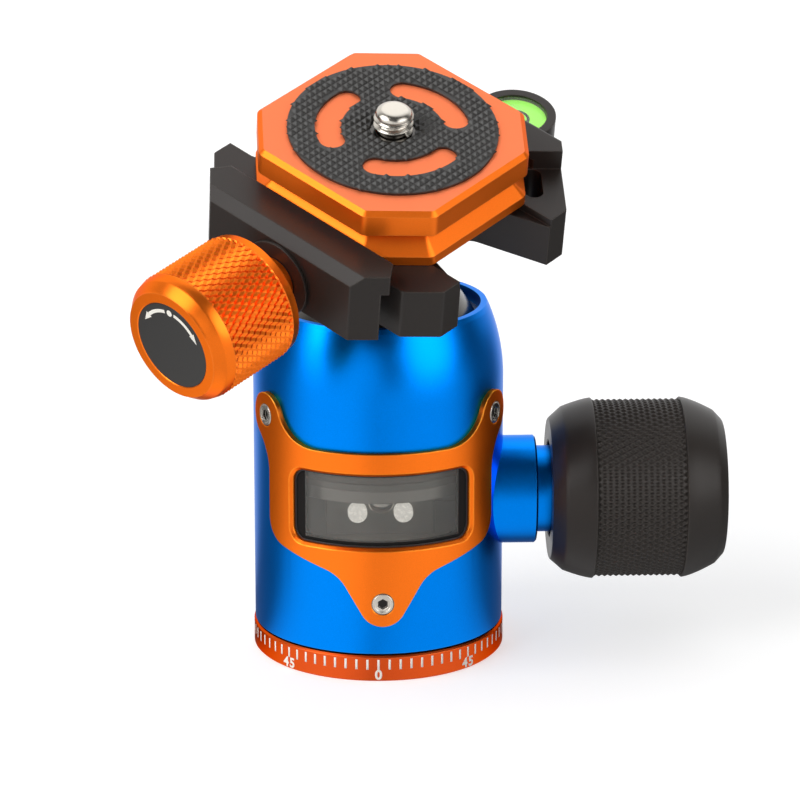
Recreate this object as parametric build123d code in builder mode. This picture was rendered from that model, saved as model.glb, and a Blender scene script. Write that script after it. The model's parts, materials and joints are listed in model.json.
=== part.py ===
from build123d import *
import math
import os

# A tripod ball head, in millimetres. The origin is the centre of the underside,
# +Z is up, the window faces -Y and the lock knob is on +X.
# Pieces above the ball are drawn in the clamp's own frame, with the ball's centre
# as origin: X along the jaws, Y across them, Z up the stem.

# ---- Fits --------------------------------------------------------------------
running = 0.05              # radial clearance of shafts in bores and of the ball in its seats
face_gap = 0.05             # gap between flat faces that slide or turn on each other

# ---- Base --------------------------------------------------------------------
base_proud = 0.2            # ring outside the housing
base_h = 4.4
base_edge = 0.3             # chamfer of the ring's edges
pan_gap = 0.35              # visible joint between base ring and housing
hub_r = 8.0                 # post that the housing turns round
bush_r = 6.0
thread_r = 4.0              # minor radius of the 3/8 inch tripod thread
thread_depth = 14.0
flange_h = 7.85
retainer_r = 11.0
retainer_h = 3.0
retainer_gap = 0.1

# ---- Housing -----------------------------------------------------------------
ball_r = 18.0
ball_room = 0.35            # radial room between ball and housing
wall = 2.45
floor_top = 21.8            # floor of the wedge chamber
floor_h = 3.0
ledge_h = 0.8               # raised edge of the chamber floor
ledge_w = 0.9
shoulder_drop = 2.55        # how far the curved shoulder starts below the ball's centre
rim_up = 10.25              # rim above the ball's centre
rim_edge_in = 2.4           # top edge inside the housing's side
rim_edge_h = 0.8
rim_cover = 1.0             # rim's bore inside the ball's radius
lip_h = 2.2                 # lip that holds the seat ring down
lip_step = 0.3
seat_foot = 1.35            # start of the seat cone above the ball's centre
seat_ring_lift = 0.8
notch_half = 8.0            # half width of the drop notch

# ---- Ball's lower seat -------------------------------------------------------
cup_clear = 0.45            # radial gap between cup and housing
cup_h = 9.25
crown_drop = 0.6            # how far the ball's crown passes through the cup
groove_up = 1.2
groove_w = 0.4
groove_d = 0.3
thrust_h = 2.0
thrust_hole_r = 6.0
peg_r = 2.2
peg_in = 4.45               # peg's centre inside the housing's bore
peg_neck = 0.7

# ---- Wedge -------------------------------------------------------------------
block_l = 18.0
block_w = 19.0
block_h = 7.4               # height at the middle
wedge_slope = 0.05
block_screw_r = 1.6
block_screw_x = 3.8
block_screw_drop = 0.45     # below the spindle's axis
block_screw_l = 8.2
block_screw_out = 1.9
block_screw_edge = 0.4

# ---- Lock knob ---------------------------------------------------------------
knob_up = 4.5               # spindle axis above the chamber floor
boss_r = 9.05
boss_out = 5.5              # boss outside the housing's side
nose_r = 7.25
nose_l = 4.7
spindle_r = 4.0
spindle_step = 0.2          # thick part of the spindle starts this far outside the cup
spindle_short = 0.5         # spindle's end before the end of the knurl
nut_thread_r = 2.0
nut_thread_l = 24.0
washer_h = 0.5
knob_cover = 2.4            # knob over the bush's nose
knob_recess_r = 8.2
knob_in_r = 11.9
knob_face_l = 2.1
knob_neck_r = 13.7
knob_lead_l = 5.2
knurl_l = 14.6
knob_r = 15.2
knob_taper_l = 5.8
knob_taper_r = 12.9
knob_rim_l = 1.4
knob_end_r = 11.4
cap_r = 8.5
cap_h = 1.3
cap_inset = 0.2
cap_screw_r = 1.5
cap_head_r = 3.0
cap_head_h = 3.0
cap_screw_grip = 6.0
cap_web = 2.8               # knob wall between the spindle's end and the screw's head

# ---- Window ------------------------------------------------------------------
bracket_t = 0.9
opening_half = 43.0         # half angle of the bracket's opening
opening_low = 23.2
opening_high = 35.5
opening_corner = 2.3
opening_bevel = 0.5
gasket_cover = 2.5          # degrees of gasket behind the bracket's sides
gasket_lip = 0.9            # degrees of gasket inside the opening
gasket_cover_z = 0.8
gasket_lip_z = 0.3
window_t = 0.7
window_inset = 0.2
ear_angle = 60.6
ear_z = 43.0
ear_r = 3.8
ear_fillet = 8.0
bracket_top = 39.3
side_angle = 57.5
corner_r = 4.6
corner_z = 26.1
lower_slope = 16.7          # degrees that the lower edge falls towards the tail
shared_angles = (38.0, 33.0)    # where the outlines of ear and front share their points
tail_z = 13.7
tail_r = 3.9
tail_flare = 60.0
tail_fillet = 6.0
screw_head_r = 1.93
screw_r = 1.0
screw_l = 3.0
screw_hex_r = 0.75
screw_hex_d = 0.45

# ---- Head pose at rest -------------------------------------------------------
head_tilt = 24.2            # towards the front
head_lean = 2.1             # towards the lock knob
head_spin = -44.0

# ---- Stem and clamp, in the clamp's frame ------------------------------------
stem_r = 6.5
stem_top = 28.35
spigot_r = 5.5
spigot_h = 2.65
stem_gap = 0.08
bolt_r = 2.5
bolt_depth = 17.0           # shank below the spigot's top
bolt_clear = 0.1
bolt_head_r = 4.6
bolt_head_h = 3.3
bolt_head_clear = 0.2
bolt_hex_r = 2.3
bolt_hex_d = 2.0
bolt_web = 1.4              # clamp floor under the bolt's head

clamp_t = 9.0
clamp_half_l = 24.75
clamp_front = -19.3
clamp_back = 24.75
clamp_cut = 39.5            # |x| + |y| of the corner cuts
channel_half = 11.0
channel_d = 1.35
scoop_mouth = 10.8
scoop_depth = 13.4
scoop_floor = 6.7
scoop_r = 2.5
clamp_edge = 0.8
fixed_wall = 3.56
fixed_tip = 2.4
slot_x = 16.4
slot_y = 16.2
slot_l = 7.4
slot_w = 3.0

level_y = 31.3
level_boss_r = 6.7
level_boss_drop = 2.85      # below the clamp's floor
vial_r = 5.2
vial_h = 3.2
lens_h = 0.7
lens_inset = 0.3

stud_w = 4.0                # stud axis above the clamp's underside
stud_r = 2.5
stud_reach = 8.0            # stud's inner end, in front of the stem
stud_out = -44.0
stud_play = 2.5             # room past the stud's end in the knob
pin_r = 1.5
pin_x = 12.0
pin_seat = 2.5
pin_reach = 6.3
pin_bore = 9.5

# ---- Movable jaw -------------------------------------------------------------
jaw_open = 1.35
jaw_leg = 3.5
jaw_body = 5.45             # leg's outer face to the plate's seat
jaw_half_l = 15.0
jaw_tip_x = 19.3
jaw_tip_y = 4.4
jaw_lip_x = 17.3
jaw_edge = 0.5
jaw_bevel_y = 1.6
jaw_bevel_z = 1.8
jaw_under = 0.07            # jaw's foot above the clamp's underside
lip_gap = 0.1
bore_clear = 0.3

# ---- Clamp knob --------------------------------------------------------------
tightener_washer = 0.5
tightener_neck_r = 6.5
tightener_neck = 5.0
tightener_r = 11.05
tightener_in_r = 9.5
tightener_lead = 1.4
tightener_knurl = 14.0
tightener_bevel = 2.5
tightener_bevel_r = 9.25
tightener_rim = 0.3
label_r = 7.25
label_h = 0.5
label_inset = 0.1

# ---- Quick-release plate -----------------------------------------------------
plate_w = 38.1
plate_leg = 7.9
plate_corner = 1.75
plate_rim = 1.61
waist_corner = 0.6
dovetail = 2.85
waist_h = 1.4
plate_flange = 4.35
plate_edge = 0.75
grip_gap = 0.05
waist_slot_x = 0.5
waist_slot_l = 7.0
waist_slot_d = 2.0
pad_r = 16.8
pad_h = 1.0
pad_hole_r = 3.7
pad_window_in = 8.2
pad_window_out = 12.4
pad_window_half = 33.0
pad_windows = 3
camera_r = 3.175            # crest radius of the 1/4 inch camera thread
camera_up = 4.6
camera_tip = 0.45
camera_clear = 0.25
camera_neck_r = 2.5         # plain neck below the thread, which the clip runs in
camera_head_r = 6.2
camera_head_h = 2.6
camera_head_inset = 0.5
camera_slot_w = 1.2
camera_slot_d = 1.4
clip_r = 4.6
clip_h = 0.6
clip_gap_w = 2.5

# ---- Levels and places that follow -------------------------------------------
bore_r = ball_r + ball_room
housing_r = bore_r + wall
base_r = housing_r + base_proud
rim_edge_r = housing_r - rim_edge_in
rim_in_r = ball_r - rim_cover
housing_bottom = base_h + pan_gap
flange_top = housing_bottom + flange_h
retainer_bottom = flange_top + retainer_gap
hub_top = retainer_bottom + retainer_h
knob_z = floor_top + knob_up
block_bottom = floor_top + face_gap
block_mid_top = block_bottom + block_h
block_high = block_mid_top + wedge_slope * block_l / 2
thrust_bottom = block_high + face_gap
thrust_top = thrust_bottom + thrust_h
cup_bottom = thrust_top
ball_z = cup_bottom + ball_r - crown_drop
cup_r = bore_r - cup_clear
spindle_start = cup_r + spindle_step
shoulder_z = ball_z - shoulder_drop
rim_top = ball_z + rim_up
lip_bottom = rim_top - lip_h
bracket_r = housing_r + bracket_t
peg_y = peg_in - bore_r
boss_end = housing_r + boss_out
nose_end = boss_end + nose_l
knob_in = nose_end - knob_cover
knob_neck_x = knob_in + knob_face_l
knurl_start = knob_neck_x + knob_lead_l
knurl_end = knurl_start + knurl_l
knob_taper_x = knurl_end + knob_taper_l
knob_end = knob_taper_x + knob_rim_l
spindle_end = knurl_end - spindle_short

spigot_top = stem_top + spigot_h
bolt_foot = spigot_top - bolt_depth
bolt_seat = spigot_top + stem_gap + bolt_web
clamp_under = stem_top + stem_gap
clamp_floor = clamp_under + clamp_t
channel_floor = clamp_floor - channel_d
stud_z = clamp_under + stud_w
plate_half = plate_w / 2
plate_under = clamp_floor + face_gap
plate_foot = plate_under + plate_rim
waist_bottom = plate_foot + dovetail
flange_under = waist_bottom + waist_h
plate_top = flange_under + plate_flange
seat_y = plate_half + grip_gap
seat_z = plate_foot + grip_gap
wall_top = clamp_floor + fixed_wall
jaw_seat_y = -seat_y - jaw_open + grip_gap
jaw_out = jaw_seat_y - jaw_body
jaw_in = jaw_out + jaw_leg
tightener_in = jaw_out - face_gap - tightener_washer - face_gap
clip_bottom = plate_top - clip_h

head = Pos(0, 0, ball_z) * Rot(head_tilt, 0, 0) * Rot(0, head_lean, 0) * Rot(0, 0, head_spin)
at_base = Pos(0, 0, 0)


def save(piece, name, place=at_base):
    """Label a finished piece and write it where it stands in the head at rest."""
    placed = place * piece.part
    placed.label = name
    export_step(placed, f"parts/{name}.step")


def facing(angle, radius, z):
    """Plane on the housing's side, at an angle from the front, looking out."""
    turn = math.radians(angle)
    return Plane(
        origin=(radius * math.sin(turn), -radius * math.cos(turn), z),
        x_dir=(math.cos(turn), math.sin(turn), 0),
        z_dir=(math.sin(turn), -math.cos(turn), 0),
    )


def panel(half_angle, low, high, inner, outer, corner):
    """Curved panel about the Z axis, centred on the front, with rounded corners."""
    start = math.radians(-90 - half_angle)
    section = Plane(
        origin=(0, 0, 0),
        x_dir=(math.cos(start), math.sin(start), 0),
        z_dir=(math.sin(start), -math.cos(start), 0),
    )
    with BuildPart() as sheet:
        with BuildSketch(section):
            with Locations(((inner + outer) / 2, (low + high) / 2)):
                Rectangle(outer - inner, high - low)
        revolve(axis=Axis.Z, revolution_arc=2 * half_angle)
        radial = sheet.edges().filter_by(GeomType.LINE).filter_by(Axis.Z, reverse=True)
        fillet(radial, corner)
    return sheet.part


def ring(outer, inner, bottom, height):
    """Flat ring about the Z axis."""
    with BuildPart() as hoop:
        with BuildSketch(Plane.XY.offset(bottom)):
            Circle(outer)
            Circle(inner, mode=Mode.SUBTRACT)
        extrude(amount=height)
    return hoop.part


def disc(bottom, top, radius, center=(0, 0)):
    """Upright disc or pin."""
    with BuildPart() as cylinder:
        with BuildSketch(Plane.XY.offset(bottom)):
            with Locations(center):
                Circle(radius)
        extrude(amount=top - bottom)
    return cylinder.part


def cross_rod(y_start, y_end, radius, x=0):
    """Solid rod along Y at the height of the clamp's stud."""
    with BuildPart() as bar:
        with BuildSketch(Plane.XZ.offset(-y_start)):
            with Locations((x, stud_z)):
                Circle(radius)
        extrude(amount=y_start - y_end)
    return bar.part


def rod(x_start, x_end, radius):
    """Solid rod along the lock knob's axis."""
    with BuildPart() as bar:
        with BuildSketch(Plane.YZ.offset(x_start)):
            with Locations((0, knob_z)):
                Circle(radius)
        extrude(amount=x_end - x_start)
    return bar.part


def octagon(inset, bottom, corner):
    """Outline of the plate at a level: a square with its corners cut, moved in by an inset."""
    half = plate_half - inset
    edge = half - plate_leg + inset * (2 - math.sqrt(2))
    with BuildSketch(Plane.XY.offset(bottom)) as outline:
        Polygon(
            (half, edge), (edge, half), (-edge, half), (-half, edge),
            (-half, -edge), (-edge, -half), (edge, -half), (half, -edge),
        )
        fillet(outline.vertices(), corner)
    return outline.sketch


os.makedirs("parts", exist_ok=True)

# ==== Base ====================================================================
with BuildPart() as base_ring:
    with BuildSketch():
        Circle(base_r)
    extrude(amount=base_h)
    chamfer(base_ring.edges(), base_edge)
    with BuildSketch(Plane.XY.offset(base_h)):
        Circle(hub_r)
    extrude(amount=hub_top - base_h)
    with BuildSketch():
        Circle(bush_r)
    extrude(amount=thread_depth, mode=Mode.SUBTRACT)
save(base_ring, "base_ring")

with BuildPart() as thread_bush:
    add(ring(bush_r, thread_r, 0, thread_depth))
save(thread_bush, "thread_bush")

with BuildPart() as pan_washer:
    add(ring(bore_r, hub_r, base_h, pan_gap - face_gap))
save(pan_washer, "pan_washer")

with BuildPart() as pan_retainer:
    add(ring(retainer_r, hub_r, retainer_bottom, retainer_h))
save(pan_retainer, "pan_retainer")

# ==== Housing =================================================================
screw_places = [
    facing(ear_angle, bracket_r, ear_z).location,
    facing(-ear_angle, bracket_r, ear_z).location,
    facing(0, bracket_r, tail_z).location,
]

seat_cone_top = (rim_in_r + lip_step, lip_bottom)
seat_cone_foot = (bore_r, ball_z + seat_foot)

with BuildPart() as housing:
    with BuildSketch(Plane.XZ):
        with BuildLine():
            Line((bore_r, housing_bottom), (housing_r, housing_bottom))
            Line((housing_r, housing_bottom), (housing_r, shoulder_z))
            TangentArc((housing_r, shoulder_z), (rim_edge_r, rim_top - rim_edge_h), tangent=(0, 1))
            Polyline(
                (rim_edge_r, rim_top - rim_edge_h),
                (rim_edge_r - rim_edge_h / 2, rim_top),
                (rim_in_r, rim_top),
                (rim_in_r, lip_bottom),
                seat_cone_top,
                seat_cone_foot,
                (bore_r, housing_bottom),
            )
        make_face()
    revolve(axis=Axis.Z)
    # Window opening, behind the bracket
    add(
        panel(
            opening_half + gasket_cover,
            opening_low - gasket_cover_z,
            opening_high + gasket_cover_z,
            bore_r - 1,
            housing_r + 1,
            opening_corner + gasket_cover_z,
        ),
        mode=Mode.SUBTRACT,
    )
    # Seat of the knob bush
    add(rod(0, bracket_r + 1, boss_r), mode=Mode.SUBTRACT)
    # Drop notch at the back, open at the rim
    with BuildSketch(Plane.XZ):
        with Locations((0, ball_z)):
            Circle(notch_half)
        with Locations((0, (ball_z + rim_top + 1) / 2)):
            Rectangle(2 * notch_half, rim_top + 1 - ball_z)
    extrude(amount=-(housing_r + 1), mode=Mode.SUBTRACT)
    # Screw holes
    with Locations(*screw_places):
        Hole(screw_r, depth=screw_l)
save(housing, "housing")

with BuildPart() as seat_ring:
    with BuildSketch(Plane.XZ):
        cone_share = seat_ring_lift / (seat_cone_top[1] - seat_cone_foot[1])
        foot_r = seat_cone_foot[0] + cone_share * (seat_cone_top[0] - seat_cone_foot[0])
        foot_z = seat_cone_foot[1] + seat_ring_lift
        with BuildLine():
            Polyline(
                (rim_in_r / 2, foot_z), (foot_r, foot_z), seat_cone_top, (rim_in_r / 2, lip_bottom),
                close=True,
            )
        make_face()
    revolve(axis=Axis.Z)
    with Locations((0, 0, ball_z)):
        Sphere(ball_r + running, mode=Mode.SUBTRACT)
    with BuildSketch(Plane.XZ.offset(-bore_r / 2)):
        with Locations((0, rim_top)):
            Rectangle(2 * notch_half, 2 * (rim_top - foot_z) + 1)
    extrude(amount=-bore_r, mode=Mode.SUBTRACT)
save(seat_ring, "seat_ring")

with BuildPart() as pan_flange:
    add(ring(bore_r, hub_r + running, housing_bottom, flange_h))
save(pan_flange, "pan_flange")

with BuildPart() as chamber_floor:
    add(ring(bore_r, screw_r, floor_top - floor_h, floor_h))
    add(ring(bore_r, bore_r - ledge_w, floor_top, ledge_h))
    add(rod(0, housing_r, spindle_r + bore_clear), mode=Mode.SUBTRACT)
save(chamber_floor, "chamber_floor")

with BuildPart() as ball_cup:
    add(ring(cup_r, thrust_hole_r, cup_bottom, cup_h))
    with Locations((0, 0, ball_z)):
        Sphere(ball_r + running, mode=Mode.SUBTRACT)
    add(ring(cup_r, cup_r - groove_d, cup_bottom + groove_up, groove_w), mode=Mode.SUBTRACT)
save(ball_cup, "ball_cup")

pad_half_l = block_l / 2 - 1
pad_half_w = block_w / 2 - 1
pad_mid = block_mid_top + face_gap
with BuildPart() as thrust_plate:
    with BuildSketch(Plane.XY.offset(thrust_bottom)):
        Circle(cup_r)
    extrude(amount=thrust_h)
    # Sloping pad that the wedge bears on
    with BuildSketch(Plane.XZ):
        with BuildLine():
            Polyline(
                (-pad_half_l, pad_mid + wedge_slope * pad_half_l),
                (pad_half_l, pad_mid - wedge_slope * pad_half_l),
                (pad_half_l, thrust_bottom),
                (-pad_half_l, thrust_bottom),
                close=True,
            )
        make_face()
    extrude(amount=pad_half_w, both=True)
    with BuildSketch(Plane.XY.offset(ball_z - ball_r - face_gap)):
        Circle(thrust_hole_r)
    extrude(amount=thrust_h, mode=Mode.SUBTRACT)
save(thrust_plate, "thrust_plate")

with BuildPart() as centre_peg:
    with BuildSketch(Plane.XY.offset(thrust_bottom - peg_neck)):
        with Locations((0, peg_y)):
            Circle(peg_r)
    extrude(amount=peg_neck)
    with Locations((0, peg_y, thrust_bottom - peg_neck)):
        Sphere(peg_r)
    split(bisect_by=Plane.XY.offset(thrust_bottom), keep=Keep.BOTTOM)
save(centre_peg, "centre_peg")

with BuildPart() as knob_bush:
    add(rod(0, boss_end, boss_r))
    add(rod(boss_end, nose_end, nose_r))
    with BuildSketch():
        Circle(bore_r)
    extrude(amount=rim_top, mode=Mode.SUBTRACT)
    add(rod(0, nose_end, spindle_r + running), mode=Mode.SUBTRACT)
    chamfer(
        knob_bush.edges().filter_by(GeomType.CIRCLE).filter_by_position(
            Axis.X, boss_end - running, boss_end + running
        ).sort_by(SortBy.RADIUS)[-1],
        base_edge,
    )
save(knob_bush, "knob_bush")

# ==== Window ==================================================================
gasket_half = opening_half + gasket_cover
inner_half = opening_half - gasket_lip
inner_low = opening_low + gasket_lip_z
inner_high = opening_high - gasket_lip_z
inner_corner = opening_corner - gasket_lip_z

with BuildPart() as window_gasket:
    add(
        panel(
            gasket_half,
            opening_low - gasket_cover_z,
            opening_high + gasket_cover_z,
            bore_r,
            housing_r,
            opening_corner + gasket_cover_z,
        )
    )
    add(
        panel(inner_half, inner_low, inner_high, bore_r - 1, housing_r + 1, inner_corner),
        mode=Mode.SUBTRACT,
    )
save(window_gasket, "window_gasket")

with BuildPart() as front_window:
    glass_out = housing_r - window_inset
    add(panel(inner_half, inner_low, inner_high, glass_out - window_t, glass_out, inner_corner))
save(front_window, "front_window")

# Outline of one ear, seen square on to its screw: x is measured from the screw.
# Three tangent arcs run from the upper edge round the screw and down to the side.
side_x = bracket_r * math.sin(math.radians(side_angle - ear_angle))
reach = ear_r + ear_fillet
upper_z = bracket_top + ear_fillet
upper_x = -math.sqrt(reach**2 - (upper_z - ear_z) ** 2)
outer_x = side_x + ear_fillet
outer_z = ear_z - math.sqrt(reach**2 - outer_x**2)
upper_turn = math.degrees(math.atan2(ear_z - upper_z, -upper_x))
outer_turn = math.degrees(math.atan2(outer_z - ear_z, outer_x))
corner_x = side_x - corner_r
lower_x = corner_x + corner_r * math.sin(math.radians(lower_slope))
lower_z = corner_z - corner_r * math.cos(math.radians(lower_slope))


def lower_edge(angle):
    """Height of the bracket's lower edge at an angle from the front."""
    run = lower_x - bracket_r * math.sin(math.radians(angle - ear_angle))
    return lower_z - run * math.tan(math.radians(lower_slope))


def on_face(edge):
    """Whether an edge of the bracket lies on its outer face."""
    middle = edge @ 0.5
    return math.hypot(middle.X, middle.Y) > bracket_r - running


ear_points = [
    (bracket_r * math.sin(math.radians(angle - ear_angle)), lower_edge(angle))
    for angle in shared_angles
]
front_points = [
    (bracket_r * math.sin(math.radians(angle)), lower_edge(angle)) for angle in shared_angles
]
near_x = ear_points[-1][0]
front_x, front_z = front_points[0]
next_x, next_z = front_points[1]
flare = math.radians(tail_flare)
tail_touch = (tail_r * math.sin(flare), tail_z - tail_r * math.cos(flare))
front_slope = (front_z - next_z) / (front_x - next_x)
knee_x = (
    next_z - front_slope * next_x - tail_touch[1] + math.tan(flare) * tail_touch[0]
) / (math.tan(flare) - front_slope)
knee = (knee_x, next_z + front_slope * (knee_x - next_x))

with BuildPart() as bracket_outline:
    with BuildSketch(facing(0, 0, 0)):
        with BuildLine():
            Polyline((0, bracket_top), (front_x, bracket_top), *front_points)
            FilletPolyline(front_points[1], knee, tail_touch, radius=tail_fillet)
            CenterArc((0, tail_z), tail_r, tail_flare - 90, -tail_flare)
            mirror(about=Plane.YZ)
        make_face()
    extrude(amount=bracket_r + 1)
    with BuildSketch(facing(ear_angle, 0, 0)):
        with BuildLine():
            Line((near_x, bracket_top), (upper_x, bracket_top))
            CenterArc((upper_x, upper_z), ear_fillet, -90, 90 + upper_turn)
            CenterArc((0, ear_z), ear_r, 180 + upper_turn, outer_turn - upper_turn - 180)
            CenterArc((outer_x, outer_z), ear_fillet, 180 + outer_turn, -outer_turn)
            Line((side_x, outer_z), (side_x, corner_z))
            CenterArc((corner_x, corner_z), corner_r, 0, lower_slope - 90)
            Polyline((lower_x, lower_z), *ear_points, (near_x, bracket_top))
        make_face()
    extrude(amount=bracket_r + 1)
    mirror(about=Plane.YZ)

with BuildPart() as window_bracket:
    add(ring(bracket_r, housing_r, tail_z - tail_r - 1, ear_z + 2 * ear_r - tail_z + tail_r))
    add(bracket_outline.part, mode=Mode.INTERSECT)
    add(
        panel(
            opening_half, opening_low, opening_high, housing_r - 1, bracket_r + 1, opening_corner
        ),
        mode=Mode.SUBTRACT,
    )
    chamfer(window_bracket.edges(Select.LAST).filter_by(on_face), opening_bevel)
    with Locations(*screw_places):
        CounterSinkHole(screw_r, screw_head_r, depth=screw_l)
save(window_bracket, "window_bracket")

screw_head_h = screw_head_r - screw_r
with BuildPart() as bracket_screw:
    with BuildSketch(Plane.XZ):
        with BuildLine():
            Polyline(
                (0, 0), (screw_head_r, 0), (screw_r, -screw_head_h), (screw_r, -screw_l), (0, -screw_l),
                close=True,
            )
        make_face()
    revolve(axis=Axis.Z)
    with BuildSketch():
        RegularPolygon(screw_hex_r, 6)
    extrude(amount=-screw_hex_d, mode=Mode.SUBTRACT)

with BuildPart() as bracket_screws:
    for screw_place in screw_places:
        add(screw_place * bracket_screw.part)
save(bracket_screws, "bracket_screws")

# ==== Wedge ===================================================================
with BuildPart() as wedge_block:
    with BuildSketch(Plane.XZ):
        with BuildLine():
            Polyline(
                (-block_l / 2, block_bottom),
                (block_l / 2, block_bottom),
                (block_l / 2, block_mid_top - wedge_slope * block_l / 2),
                (-block_l / 2, block_high),
                close=True,
            )
        make_face()
    extrude(amount=block_w / 2, both=True)
    fillet(wedge_block.edges().filter_by(Axis.Z), base_edge)
    add(rod(-block_l, block_l, nut_thread_r + running), mode=Mode.SUBTRACT)
    block_screw_z = knob_z - block_screw_drop
    with BuildSketch(Plane.XZ.offset(block_w / 2)):
        with Locations((-block_screw_x, block_screw_z), (block_screw_x, block_screw_z)):
            Circle(block_screw_r)
    extrude(amount=block_screw_out - block_screw_l, mode=Mode.SUBTRACT)
save(wedge_block, "wedge_block")

with BuildPart() as block_screws:
    with BuildSketch(Plane.XZ.offset(block_w / 2 + block_screw_out)):
        with Locations((-block_screw_x, block_screw_z), (block_screw_x, block_screw_z)):
            Circle(block_screw_r)
    extrude(amount=-block_screw_l)
    fillet(block_screws.faces().filter_by(Axis.Y).sort_by(Axis.Y)[:2].edges(), block_screw_edge)
save(block_screws, "block_screws")

# ==== Lock knob ===============================================================
with BuildPart() as lock_spindle:
    add(rod(spindle_start - nut_thread_l, spindle_start, nut_thread_r))
    add(rod(spindle_start, spindle_end, spindle_r))
    add(rod(spindle_end - cap_screw_grip, spindle_end, cap_screw_r), mode=Mode.SUBTRACT)
save(lock_spindle, "lock_spindle")

knob_axis = Axis((0, 0, knob_z), (1, 0, 0))
recess_floor = nose_end + face_gap + washer_h
head_floor = spindle_end + cap_web
cap_floor = knob_end - cap_inset - cap_h


def knob_point(x, radius):
    """Point of the lock knob's half section."""
    return (x, knob_z + radius)


with BuildPart() as lock_knob:
    with BuildSketch(Plane.XZ):
        with BuildLine():
            Polyline(
                knob_point(knob_in, knob_recess_r),
                knob_point(knob_in, knob_in_r),
                knob_point(knob_neck_x, knob_neck_r),
            )
            TangentArc(
                knob_point(knurl_start, knob_r), knob_point(knob_neck_x, knob_neck_r), tangent=(-1, 0)
            )
            Polyline(
                knob_point(knurl_start, knob_r),
                knob_point(knurl_end, knob_r),
                knob_point(knob_taper_x, knob_taper_r),
                knob_point(knob_end, knob_end_r),
                knob_point(knob_end, cap_r),
                knob_point(cap_floor, cap_r),
                knob_point(cap_floor, cap_head_r),
                knob_point(head_floor, cap_head_r),
                knob_point(head_floor, cap_screw_r),
                knob_point(spindle_end, cap_screw_r),
                knob_point(spindle_end, spindle_r),
                knob_point(recess_floor, spindle_r),
                knob_point(recess_floor, knob_recess_r),
                knob_point(knob_in, knob_recess_r),
            )
        make_face()
    revolve(axis=knob_axis)
save(lock_knob, "lock_knob")

with BuildPart() as knob_washer:
    add(rod(nose_end + face_gap, recess_floor, nose_r))
    add(rod(nose_end, recess_floor + 1, spindle_r), mode=Mode.SUBTRACT)
save(knob_washer, "knob_washer")

with BuildPart() as knob_screw:
    add(rod(spindle_end - cap_screw_grip, head_floor, cap_screw_r))
    add(rod(head_floor, head_floor + cap_head_h, cap_head_r))
    with BuildSketch(Plane.YZ.offset(head_floor + cap_head_h)):
        with Locations((0, knob_z)):
            RegularPolygon(cap_screw_r, 6)
    extrude(amount=-cap_screw_r, mode=Mode.SUBTRACT)
save(knob_screw, "knob_screw")

with BuildPart() as knob_cap:
    add(rod(cap_floor, cap_floor + cap_h, cap_r))
    chamfer(knob_cap.faces().sort_by(Axis.X)[-1].edges(), base_edge)
save(knob_cap, "knob_cap")

# ==== Ball ====================================================================
with BuildPart() as ball:
    Sphere(ball_r)
    add(disc(0, stem_top, stem_r))
    add(disc(stem_top, spigot_top, spigot_r))
    add(disc(bolt_foot - stem_gap, stem_top + clamp_t, bolt_r + bolt_clear), mode=Mode.SUBTRACT)
save(ball, "ball", head)

# ==== Clamp ===================================================================
cut_front_x = clamp_cut + clamp_front
cut_side_y = clamp_cut - clamp_half_l
cut_back_x = clamp_cut - clamp_back
scoop_x = clamp_half_l - scoop_depth
lip_y = seat_y - (wall_top - seat_z)
boss_top = clamp_floor - level_boss_drop
vial_bottom = boss_top - lens_inset - lens_h - vial_h

# Fixed jaw, undercut for the plate's dovetail, its ends cut on the skew
with BuildPart() as fixed_jaw:
    with BuildSketch(Plane.YZ):
        with BuildLine():
            Polyline(
                (seat_y, clamp_floor),
                (clamp_back, clamp_floor),
                (clamp_back, wall_top),
                (lip_y, wall_top),
                (seat_y, seat_z),
                close=True,
            )
        make_face()
    extrude(amount=clamp_half_l, both=True)
    fillet(fixed_jaw.edges().filter_by(Axis.X).sort_by(Axis.Z)[-2:].sort_by(Axis.Y)[-1], clamp_edge)
    tip_x = cut_back_x + fixed_tip
    tip_y = clamp_back - fixed_tip
    with BuildSketch(Plane.XY.offset(clamp_floor)):
        with BuildLine():
            Polyline(
                (0, lip_y),
                (tip_x - tip_y + lip_y, lip_y),
                (tip_x, tip_y),
                (cut_back_x, clamp_back),
                (0, clamp_back),
            )
            mirror(about=Plane.YZ)
        make_face()
    extrude(amount=fixed_wall, mode=Mode.INTERSECT)

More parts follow.
